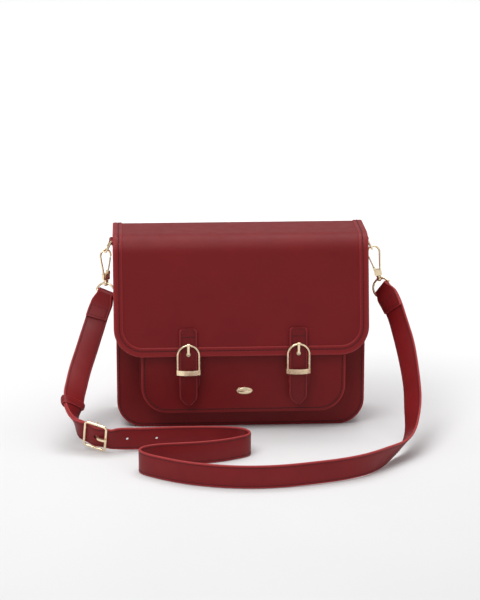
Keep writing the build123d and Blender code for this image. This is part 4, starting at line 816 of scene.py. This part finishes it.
CT = 2.4
for side, cx in (("left", -60.0), ("right", 63.0)):
    o = 1.3 + CT / 2
    pts = [flap_line(0.9 + CT / 2, 120.8), flap_line(0.9 + CT / 2, 118.0), flap_line(o, 111.0), flap_line(o, 90.5),
           (-66.9 - CT / 2, 76.0), (-66.0 - CT / 2, 56.0), (-64.6 - CT / 2, 32.0)]
    line = smooth_path(pts, 1.2, 6.0)
    # the line's last point, kept in extra, which nothing uses
    extra = np.array([line[-1] + (line[-1] - line[-2]) * 0.0])
    P = np.stack([np.full(len(line), cx), line[:, 0], line[:, 1]], 1)
    T = tangents(P)
    W = np.tile([-1.0, 0, 0], (len(P), 1))
    N = np.cross(T, W)
    if N[len(P) // 2][1] > 0:
        W = -W
        N = -N
    tip = P[:, 2] - 32.0
    half = np.interp(tip, [0, .5, 1.6, 3.6, 6.0, 8.6, 12.0], [0.5, 1.7, 3.4, 5.6, 7.7, 9.3, 10.0])
    top = 120.8 - P[:, 2]
    half = np.where(top < 4, 10 - 4 + np.sqrt(np.clip(16 - (4 - top) ** 2, 0.01, 16)), half)
    ob = ribbon("closure_" + side, P, T, W, half, -CT / 2, CT / 2, mats=M_CLOSURE)
    # a punched hole: the prong's, with its eyelet
    hy, hz = flap_line(o, 92.7)
    cut(ob, [prism("c", (cx, hy, hz), (0, -math.cos(SL), math.sin(SL)), (1, 0, 0), 1.95, 9)])
    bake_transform(ob)
    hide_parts("closure_tab_" + side, "closure_strap_" + side)
    # stitched edges, and a box of stitches at the sewn end
    rows = []
    for e in (-1, 1):
        k = (half - 2.7 > 1.6) & (P[:, 2] > 36) & (P[:, 2] < 118.4)
        rows.append(P[k] + W[k] * (e * (half[k] - 2.7))[:, None] + N[k] * (CT / 2 - 0.12))
    for z in (118.5, 111.6):
        y, _ = flap_line(o + CT / 2 - 0.08 if z < 115 else 0.90 + CT - 0.05, z)
        rows.append(np.array([(cx - 7.0, y, z), (cx + 7.0, y, z)]))
    for n_, row in enumerate(rows):
        pos, tan, _ = resample(row, 3.7)
        nn = np.array([np.interp(pos[:, 2], P[::-1, 2], N[::-1, j]) for j in range(3)]).T
        st = stitches("closure_%s_stitches_%d" % (side, n_), pos, tan, nn, length=2.4, radius=0.46, slot="strap_leather")
        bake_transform(st)
    # the leather patch under the snap, sewn to the pocket
    x0 = cx + 1.2
    nx, nz = 22, 26
    xs = np.linspace(-11.5, 11.5, nx)
    zs = np.concatenate([[52.0, 52.5, 53.2, 54.2, 55.4, 56.6], np.linspace(58.0, 88.0, nz - 6)])
    Z = np.repeat(zs[:, None], nx, 1)
    wlow = np.interp(zs, [52, 52.5, 53.2, 54.2, 55.4, 56.6], [7.6, 9.2, 10.2, 10.9, 11.35, 11.5])
    X = wlow[:, None] * (xs / 11.5)[None, :]
    ed = np.minimum(wlow[:, None] - np.abs(X), np.minimum(Z - 52, 88 - Z))
    Yp = -62.2 + 0.45 * (1 - np.clip(ed / 2.2, 0, 1)) ** 2
    # rim=0.8 paints the patch's outline lighter: edge paint plus a painted highlight
    pt = slab("snap_patch_" + side, np.stack([X + x0, Yp, Z], 2), np.stack([X + x0, np.full_like(X, -59.8), Z], 2), np.stack([X, Z], 2), M_CLOSURE, rim=0.8, slot="body_leather")
    bevel(pt, 0.35, 2, 60)
    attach(pt, "bag")
    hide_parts("snap_tab_" + side)
    loop = [(x0 - 9.3, -62.16, 86), (x0 - 9.3, -62.16, 57.0), (x0 - 8.4, -62.16, 55.0), (x0 - 6.4, -62.16, 54.2), (x0 + 6.4, -62.16, 54.2), (x0 + 8.4, -62.16, 55.0), (x0 + 9.3, -62.16, 57.0), (x0 + 9.3, -62.16, 86), (x0 - 9.3, -62.16, 86)]
    pos, tan, _ = resample(loop, 3.5)
    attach(stitches("snap_patch_stitches_" + side, pos, tan, np.tile([0, -1, 0], (len(pos), 1)), length=2.4, radius=0.3), "bag")

# ------------------------------------------------------------------ side loops of leather that hold the rings
for side, sx in (("left", -1.0), ("right", 1.0)):
    bx, bz, r = 144.2, 208.0, 1.95
    path = [(140.95, 180.0), (140.95, 186.0), (140.95, 199.5), (142.4, 203.4), (145.2, 205.9)]
    for a in np.linspace(-35, 200, 14):
        path.append((bx + r * math.cos(math.radians(a)), bz + r * math.sin(math.radians(a))))
    path += [(141.6, 205.0), (139.72, 201.0), (139.72, 184.0)]
    line = smooth_path(path, 0.8, 0.9)
    P = np.stack([sx * line[:, 0], np.zeros(len(line)), line[:, 1]], 1)
    T = tangents(P)
    W = np.tile([0.0, 1.0, 0], (len(P), 1))
    up = P[:, 2] - 180.0
    first = np.arange(len(P)) < len(P) // 3
    half = np.where(first & (up < 4.0), 3.0 + np.sqrt(np.clip(16 - (4 - up) ** 2, 0.01, 16)), 7.0)
    ob = ribbon("side_loop_" + side, P, T, W, half, -0.6, 0.6, slot="strap_leather", groove=1.9)
    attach(ob, "bag")
    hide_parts("side_tab_" + side)
    for e in (-1, 1):
        row = [(sx * 141.5, e * 5.1, 184.0), (sx * 141.5, e * 5.1, 198.5)]
        pos, tan, _ = resample(row, 3.4)
        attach(stitches("side_loop_stitches_%s_%s" % (side, "front" if e < 0 else "back"), pos, tan, np.tile([sx, 0, 0], (len(pos), 1)), length=2.3, radius=0.3, slot="strap_leather"), "bag")
    pos, tan, _ = resample([(sx * 141.5, -4.0, 183.4), (sx * 141.5, 4.0, 183.4)], 3.2)
    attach(stitches("side_loop_end_" + side, pos, tan, np.tile([sx, 0, 0], (len(pos), 1)), length=2.2, radius=0.3, slot="strap_leather"), "bag")

# ------------------------------------------------------------------ shoulder strap
STRAP = np.array([
    (-151.3, -0.4, 146.60, -0.875, 0.398, 0.275),
    (-155.0, -1.6, 136.50, -0.885, 0.374, 0.277),
    (-160.4, -6.0, 123.70, -0.924, 0.298, 0.239),
    (-164.9, -12.0, 111.30, -0.952, 0.208, 0.224),
    (-169.4, -20.0, 99.50, -0.954, 0.122, 0.275),
    (-173.7, -30.0, 88.40, -0.948, 0.079, 0.308),
    (-178.2, -42.0, 77.90, -0.942, 0.056, 0.331),
    (-182.1, -56.0, 68.20, -0.945, 0.008, 0.328),
    (-185.3, -72.0, 59.10, -0.924, -0.010, 0.382),
    (-187.9, -87.0, 52.20, -0.881, -0.089, 0.465),
    (-188.3, -99.0, 47.40, -0.797, -0.312, 0.516),
    (-187.6, -109.0, 35.40, -0.277, -0.854, 0.441),
    (-174.0, -118.5, 21.90, 0.191, -0.352, 0.916),
    (-162.7, -123.6, 19.30, 0.049, -0.285, 0.957),
    (-151.3, -128.7, 16.80, 0.087, -0.302, 0.949),
    (-138.0, -128.5, 15.60, 0.076, -0.048, 0.996),
    (-119.0, -124.5, 14.00, 0.072, 0.015, 0.997),
    (-97.0, -120.8, 13.15, 0.023, 0.003, 1.000),
    (-75.0, -118.5, 12.85, 0.009, 0.001, 1.000),
    (-50.0, -118.2, 12.65, 0.004, 0.000, 1.000),
    (-28.0, -119.8, 12.65, -0.001, 0.000, 1.000),
    (-12.0, -122.8, 12.65, 0.000, 0.000, 1.000),
    (-2.0, -127.7, 12.65, 0.000, 0.000, 1.000),
    (3.2, -135.0, 12.65, 0.000, 0.000, 1.000),
    (4.2, -143.5, 12.65, 0.000, 0.000, 1.000),
    (0.0, -150.5, 12.65, 0.000, 0.000, 1.000),
    (-9.0, -156.5, 12.65, 0.000, 0.000, 1.000),
    (-22.0, -163.0, 12.65, 0.000, 0.000, 1.000),
    (-45.0, -170.0, 12.65, 0.000, 0.000, 1.000),
    (-70.0, -173.5, 12.65, 0.000, 0.000, 1.000),
    (-93.0, -176.0, 12.65, 0.000, 0.000, 1.000),
    (-106.0, -180.0, 12.65, 0.000, 0.000, 1.000),
    (-114.0, -186.5, 12.65, 0.000, 0.000, 1.000),
    (-116.0, -194.5, 12.65, 0.000, 0.000, 1.000),
    (-112.0, -203.0, 12.65, 0.000, 0.000, 1.000),
    (-97.0, -216.5, 12.65, 0.000, 0.000, 1.000),
    (-73.0, -232.5, 12.65, 0.000, 0.000, 1.000),
    (-48.0, -243.5, 12.65, 0.000, 0.000, 1.000),
    (-24.0, -250.0, 12.65, -0.001, 0.000, 1.000),
    (5.0, -253.0, 12.65, 0.002, 0.000, 1.000),
    (36.0, -250.5, 12.65, -0.009, -0.001, 1.000),
    (68.0, -244.0, 13.15, -0.010, -0.003, 1.000),
    (102.0, -232.5, 13.25, 0.009, -0.035, 0.999),
    (124.0, -220.0, 13.35, 0.064, -0.067, 0.996),
    (140.8, -203.0, 12.85, 0.177, -0.121, 0.977),
    (152.2, -188.0, 12.55, 0.318, -0.205, 0.926),
    (162.7, -173.0, 13.15, 0.380, -0.431, 0.818),
    (172.9, -160.0, 17.00, 0.413, -0.551, 0.726),
    (179.7, -146.0, 22.90, 0.465, -0.526, 0.712),
    (183.8, -131.0, 31.80, 0.537, -0.522, 0.663),
    (186.4, -113.0, 43.20, 0.663, -0.468, 0.584),
    (187.8, -94.0, 57.60, 0.656, -0.487, 0.576),
    (187.0, -74.0, 75.30, 0.673, -0.477, 0.566),
    (183.6, -51.0, 98.40, 0.717, -0.425, 0.553),
    (179.5, -37.0, 114.40, 0.670, -0.479, 0.568),
    (174.3, -24.0, 130.90, 0.680, -0.391, 0.620),
    (167.7, -12.0, 143.00, 0.725, -0.178, 0.666),
    (163.7, -3.4, 148.60, 0.565, -0.293, 0.771),
])
KEEPER, BAR_L, BAR_C, BAR_R = 10, 12, 13, 14      # rows at the keeper and at the buckle's three bars


def spline(t, y, q):
    """Natural cubic spline through y at t, read at q."""
    n = len(t)
    h = np.diff(t)
    a = np.zeros((n, n))
    b = np.zeros((n, y.shape[1]))
    a[0, 0] = a[-1, -1] = 1
    for i in range(1, n - 1):
        a[i, i - 1], a[i, i], a[i, i + 1] = h[i - 1], 2 * (h[i - 1] + h[i]), h[i]
        b[i] = 6 * ((y[i + 1] - y[i]) / h[i] - (y[i] - y[i - 1]) / h[i - 1])
    m = np.linalg.solve(a, b)
    i = np.clip(np.searchsorted(t, q) - 1, 0, n - 2)
    d, hh, e = (q - t[i])[:, None], h[i][:, None], (t[i + 1] - q)[:, None]
    return (m[i] * e ** 3 / (6 * hh) + m[i + 1] * d ** 3 / (6 * hh)
            + (y[i] / hh - m[i] * hh / 6) * e + (y[i + 1] / hh - m[i + 1] * hh / 6) * d)


ctrl = STRAP[:, :3]
wide = STRAP[:, 3:]
tk = np.concatenate([[0], np.cumsum(np.linalg.norm(np.diff(ctrl, axis=0), axis=1))])
TE = tk[-1]


# the strap lies flat and straight inside the buckle
mid_p = ctrl[BAR_C]
mid_d = (ctrl[BAR_R] - ctrl[BAR_L]) / np.linalg.norm(ctrl[BAR_R] - ctrl[BAR_L])
mid_w = np.array([0.08, -0.30, 0.95])
mid_w = mid_w - (mid_w @ mid_d) * mid_d
mid_w /= np.linalg.norm(mid_w)


def flat_share(q):
    """1 inside the buckle, falling to 0 just outside its two side bars."""
    a = np.clip((q - (tk[BAR_L] - 9)) / 8, 0, 1)
    b = np.clip(((tk[BAR_R] + 10) - q) / 9, 0, 1)
    return ((a * a * (3 - 2 * a)) * (b * b * (3 - 2 * b)))[:, None]


def centre_at(q):
    k = flat_share(q)
    return (1 - k) * spline(tk, ctrl, q) + k * (mid_p + (q - tk[BAR_C])[:, None] * mid_d)


def frame_at(q):
    """Point, direction of travel, width direction and outward direction along the strap."""
    q = np.atleast_1d(np.array(q, float))
    p = centre_at(q)
    d = centre_at(np.clip(q + 0.5, 0, TE)) - centre_at(np.clip(q - 0.5, 0, TE))
    d /= np.linalg.norm(d, axis=1)[:, None]
    k = flat_share(q)
    w = (1 - k) * spline(tk, wide, q) + k * mid_w
    w = w - (w * d).sum(1)[:, None] * d
    w /= np.linalg.norm(w, axis=1)[:, None]
    return p, d, w, np.cross(d, w)


kp, bl, bc, br = tk[KEEPER], tk[BAR_L], tk[BAR_C], tk[BAR_R]
PLY, FOLD_N, WRAP = 1.3, 2.72, 2.62


def fold_path(at_start):
    """The doubled end of a strap: mid line in (distance from the bar, offset), inner end first."""
    inner = [(31.0, -2.64), (24.0, -2.64), (14.0, -2.66), (6.0, -2.70), (2.0, -WRAP - 0.05)]
    arc = [(-WRAP * math.sin(a), -WRAP * math.cos(a)) for a in np.linspace(0.0, math.pi, 15)]
    outer = [(2.0, WRAP - 0.02), (4.0, 2.35), (6.5, 1.65), (9.0, 0.95), (12.0, 0.35), (15.0, 0.05), (18.0, 0.0)]
    return np.array(inner + arc + outer)


def end_fold(which):
    """Mid-line points, tangents and widths of a strap end folded round its ring, inner end first."""
    sn = fold_path(True)
    sn = smooth_path(sn, 0.9, 0.6)
    q0, sg = (0.0, 1.0) if which == "left" else (TE, -1.0)
    P, W = [], []
    p0, d0, w0, n0 = (v[0] for v in frame_at(q0))
    for s_, n_ in sn:
        if s_ >= 0:
            p, d, w, n = (v[0] for v in frame_at(q0 + sg * s_))
            P.append(p + n * n_)
            W.append(w)
        else:
            P.append(p0 + sg * d0 * s_ + n0 * n_)
            W.append(w0)
    # the end is narrowed where it goes through the ring
    half = np.interp(np.abs(sn[:, 0]), [0, 2.5, 6, 10.5, 14], [9.3, 9.5, 10.75, 12.2, 12.5])
    return np.array(P), np.array(W), half, sn


def build_strap(name, which, q_from, q_to, table, cap_table):
    """A strap from its folded end to q_to."""
    Pf, Wf, hf, sn = end_fold(which)
    step = 2.6
    if which == "left":
        qs = np.arange(18.0 + step, q_to - 0.4, step)
    else:
        qs = np.arange(TE - 18.0 - step, q_to + 0.4, -step)
    qs = np.append(qs, q_to)
    extra = np.array([c for c in cap_table])
    qs = np.unique(np.round(np.concatenate([qs, extra]), 3))
    if which != "left":
        qs = qs[::-1]
    p, d, w, n = frame_at(qs)
    cols = np.array(table, float)
    mid = np.interp(qs, cols[:, 0], (cols[:, 1] + cols[:, 2]) / 2)
    th = np.interp(qs, cols[:, 0], (cols[:, 2] - cols[:, 1]) / 2)
    half = np.interp(qs, cols[:, 0], cols[:, 3] / 2)
    P = np.concatenate([Pf, p + n * mid[:, None]])
    W = np.concatenate([Wf, w])
    H = np.concatenate([hf, half])
    TH = np.concatenate([np.full(len(Pf), PLY), th])
    T = tangents(P)
    W = W - (W * T).sum(1)[:, None] * T
    W /= np.linalg.norm(W, axis=1)[:, None]
    if which != "left":
        W = -W
    return P, T, W, H, TH, len(Pf), qs


hl = -1.3
short_table = ((0, hl, 1.3, 25), (kp - 40, hl, 1.3, 25), (kp - 16, -2.75, -0.15, 25), (kp + 12, -2.75, -0.15, 25), (bl, -3.4, -0.8, 25), (bc - 9, -3.4, -0.55, 25),
               (bc - 5, -3.1, 0.85, 25), (bc - 2.2, -2.5, 2.0, 25), (bc + 0.8, -1.7, 2.1, 25), (bc + 2.2, -0.9, 1.8, 25), (bc + 2.9, -0.3, 1.2, 24.6))
end_q = kp - 13.0
long_table = ((end_q, 0.45, 2.85, 1.6), (end_q + 0.5, 0.40, 2.9, 7.0), (end_q + 1.5, 0.36, 2.93, 12.0), (end_q + 3.2, 0.33, 2.93, 16.6), (end_q + 5.6, 0.3, 2.9, 21.0), (end_q + 8.5, 0.24, 2.84, 24.0), (end_q + 11, 0.18, 2.8, 25.0),
              (kp + 12, 0.15, 2.75, 25), (bl - 6, -0.1, 2.5, 25), (bl, -0.6, 2.0, 25), (bc - 8, 0.7, 3.3, 25), (bc - 4, 2.0, 4.6, 25), (bc - 1.5, 2.65, 5.25, 25), (bc + 1.5, 2.65, 5.25, 25),
              (bc + 4, 2.0, 4.6, 25), (bc + 8, 0.7, 3.3, 25), (br, -0.6, 2.0, 25), (br + 22, hl, 1.3, 25), (TE, hl, 1.3, 25))

for name, which, q_to, table, caps in (("short", "left", bc + 2.9, short_table, (bc - 9, bc - 5, bc - 2.2, bc + 0.8, bc + 2.2)),
                                       ("long", "right", end_q, long_table, (end_q + 0.5, end_q + 1.5, end_q + 3.2, end_q + 5.6, end_q + 8.5, end_q + 11))):
    P, T, W, H, TH, nf, qs = build_strap("strap_" + name, which, None, q_to, table, caps)
    ob = ribbon("strap_%s_leather" % name, P, T, W, H, -TH, TH)
    p, d, w, n = (v[0] for v in frame_at(bc))
    if name == "short":
        cut(ob, [prism("c", p + 1.6 * d, n, d, 2.1, 14, stretch=3.0)], solver="FAST")
    else:
        cutters = [prism("c", p + 1.9 * d + 4 * n, n, d, 1.8, 12, stretch=1.5)]
        for dist in (35.0, 68.0):
            p2, d2, w2, n2 = (v[0] for v in frame_at(bc + dist))
            cutters.append(prism("c", p2, n2, d2, 1.5, 9))
        cut(ob, cutters)
    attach(ob, "shoulder_strap")
    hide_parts("strap_" + name)
    N = np.cross(T, W)
    sdist = np.concatenate([[0], np.cumsum(np.linalg.norm(np.diff(P, axis=0), axis=1))])
    last = sdist[-1]
    k0 = nf - 6
    for face in (1, -1):
        for e in (-1, 1):
            lo_i = 3 if face < 0 else 3
            sel = np.arange(len(P)) >= (nf - 9)
            sel &= (last - sdist) > (6.5 if name == "short" else 5.5)
            row = P[sel] + W[sel] * (e * (H[sel] - 2.7))[:, None] + N[sel] * (face * (TH[sel] - 0.12))[:, None]
            pos, tan, q = resample(row, 4.0)
            sg = np.concatenate([[0], np.cumsum(np.linalg.norm(np.diff(row, axis=0), axis=1))])
            nn = np.stack([np.interp(q, sg, (face * N[sel])[:, j]) for j in range(3)], 1)
            st = stitches("strap_%s_stitches_%s_%s" % (name, "out" if face > 0 else "in", "a" if e < 0 else "b"), pos, tan, nn, length=2.6, radius=0.46, slot="strap_leather", hole_shades=True)
            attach(st, "shoulder_strap")
    # cross stitches that close the folded end, through both plies
    q0, sg_ = (0.0, 1.0) if which == "left" else (TE, -1.0)
    for tag, dist in (("near", 17.5), ("far", 28.6)):
        p, d, w, n = (v[0] for v in frame_at(q0 + sg_ * dist))
        for face, off in (("out", 1.26), ("in", -3.9)):
            c = p + n * off
            row = np.array([c - w * 8.2, c + w * 8.2])
            pos, tan, _ = resample(row, 3.9)
            st = stitches("strap_%s_cross_%s_%s" % (name, tag, face), pos, tan, np.tile(n * (1 if off > 0 else -1), (len(pos), 1)), length=2.6, radius=0.46, slot="strap_leather")
            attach(st, "shoulder_strap")
    # and the inner ply's own edge stitches
    for e in (-1, 1):
        qq = q0 + sg_ * np.linspace(15.5, 29.0, 8)
        p, d, w, n = frame_at(qq)
        row = p - n * 3.9 + w * (e * 9.8)
        pos, tan, q = resample(row, 4.0)
        sg2 = np.concatenate([[0], np.cumsum(np.linalg.norm(np.diff(row, axis=0), axis=1))])
        nn = np.stack([np.interp(q, sg2, -n[:, j]) for j in range(3)], 1)
        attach(stitches("strap_%s_ply_%s" % (name, "a" if e < 0 else "b"), pos, tan, nn, length=2.6, radius=0.46, slot="strap_leather"), "shoulder_strap")

# keeper: a narrow loop of leather round both straps
KO = np.array(((-14.8, -4.7), (14.8, -4.7), (14.8, 3.4), (9.2, 7.3), (3.4, 9.5), (-3.4, 9.5), (-9.2, 7.3), (-14.8, 3.4)))
KI = np.array(((-13.2, -3.1), (13.2, -3.1), (13.2, 3.5), (8.4, 6.2), (3.1, 7.9), (-3.1, 7.9), (-8.4, 6.2), (-13.2, 3.5)))
kc = (KO + KI) / 2
for _ in range(3):
    nxt = np.roll(kc, -1, 0)
    kc = np.stack([kc * 0.78 + nxt * 0.22, kc * 0.22 + nxt * 0.78], 1).reshape(-1, 2)
kt = np.roll(kc, -1, 0) - np.roll(kc, 1, 0)
kt /= np.linalg.norm(kt, axis=1)[:, None]
kn = np.stack([kt[:, 1], -kt[:, 0]], 1)
KSEC = [(0.78, -2.9), (0.80, -2.2), (0.66, -1.9), (0.80, -1.6), (0.82, 0), (0.80, 1.6), (0.66, 1.9), (0.80, 2.2), (0.78, 2.9), (0.62, 3.7), (0.25, 4.0), (-0.25, 4.0), (-0.62, 3.8), (-0.78, 3.2), (-0.78, -3.2), (-0.62, -3.8), (-0.25, -4.0), (0.25, -4.0), (0.62, -3.7)]
# edge share of the keeper section: its rounded edges get the lighter edge colour, partly edge paint, partly a painted
# highlight
KEEPER_EDGE_AND_SHEEN = [0, 0, 0, 0, 0, 0, 0, 0, 0, .6, 1, 1, .6, 0, 0, .6, 1, 1, .6]
verts, uv, edge_paint_and_sheen = [], [], []
ks = np.concatenate([[0], np.cumsum(np.linalg.norm(np.diff(kc, axis=0), axis=1))])
for i in range(len(kc)):
    for (o, a), e in zip(KSEC, KEEPER_EDGE_AND_SHEEN):
        p, d, w, n = (v[0] for v in frame_at(kp + a))
        c = kc[i] + kn[i] * o
        verts.append(p + w * c[0] + n * c[1])
        uv.append((a, ks[i]))
        edge_paint_and_sheen.append(e)
kob = make("strap_keeper_leather", verts, grid_faces(len(kc), len(KSEC), close_u=True, close_v=True), M_STRAP, uv=uv, edge_paint_and_sheen=edge_paint_and_sheen, slot="strap_leather", smooth=55)
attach(kob, "shoulder_strap")
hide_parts("strap_keeper")

# ------------------------------------------------------------------ metal and boards
METAL = ["snap_socket", "side_rivet", "side_ring", "hook_frame", "hook_rivet", "gate", "swivel", "strap_dring", "eyelet", "snap_stud", "buckle_frame", "prong"]
for name, ob in NODES.items():
    if ob.type != "MESH":
        continue
    if name.startswith(tuple(METAL)) or name in ("strap_buckle_frame", "strap_prong"):
        mat = M_GOLD
    elif name in ("front_stiffener", "back_stiffener", "base_board"):
        mat = M_BOARD
    else:
        continue
    ob.data.materials.clear()
    ob.data.materials.append(mat)

# ------------------------------------------------------------------ stage
def build_stage():
    m, ns, ln, bs = mat_new("pale_floor")
    tc = node(ns, "ShaderNodeTexCoord")
    no = node(ns, "ShaderNodeTexNoise", in_Scale=3.0, in_Detail=2.0)
    ln.new(tc.outputs["Object"], no.inputs["Vector"])
    tone = ramp(ns, [(0.3, (0.745, 0.745, 0.75)), (0.7, (0.765, 0.765, 0.77))])
    ln.new(no.outputs["Fac"], tone.inputs["Fac"])
    ln.new(tone.outputs["Color"], bs.inputs["Base Color"])
    bs.inputs["Roughness"].default_value = 0.9
    bs.inputs["Specular IOR Level"].default_value = 0.1
    me = D.meshes.new("floor")
    me.from_pydata([(-9, -7, 0), (9, -7, 0), (9, 9, 0), (-9, 9, 0)], [], [(0, 1, 2, 3)])
    me.materials.append(m)
    fl = D.objects.new("floor", me)
    fl.location = (0, 0, -0.0004)
    COL.objects.link(fl)
    w = D.worlds.new("soft_white")
    bpy.context.scene.world = w
    w.use_nodes = True
    bg = w.node_tree.nodes["Background"]
    bg.inputs["Color"].default_value = (1.0, 1.0, 1.0, 1)
    bg.inputs["Strength"].default_value = 0.46
    area("key", (-0.65, -0.95, 1.65), (0, -0.05, 0.14), (0.9, 0.9), 14.0)
    area("fill", (1.25, -1.2, 0.85), (0, -0.05, 0.10), (1.2, 1.0), 2.6)
    area("top", (0.05, -0.10, 1.6), (0, -0.02, 0.10), (1.3, 0.8), 7.5)
    area("floor_wash", (0.0, 2.3, 2.6), (0, 2.3, 0.0), (4.4, 3.4), 62.0, spread=84)
    bpy.context.scene.view_settings.view_transform = "Standard"


build_stage()
build_camera()
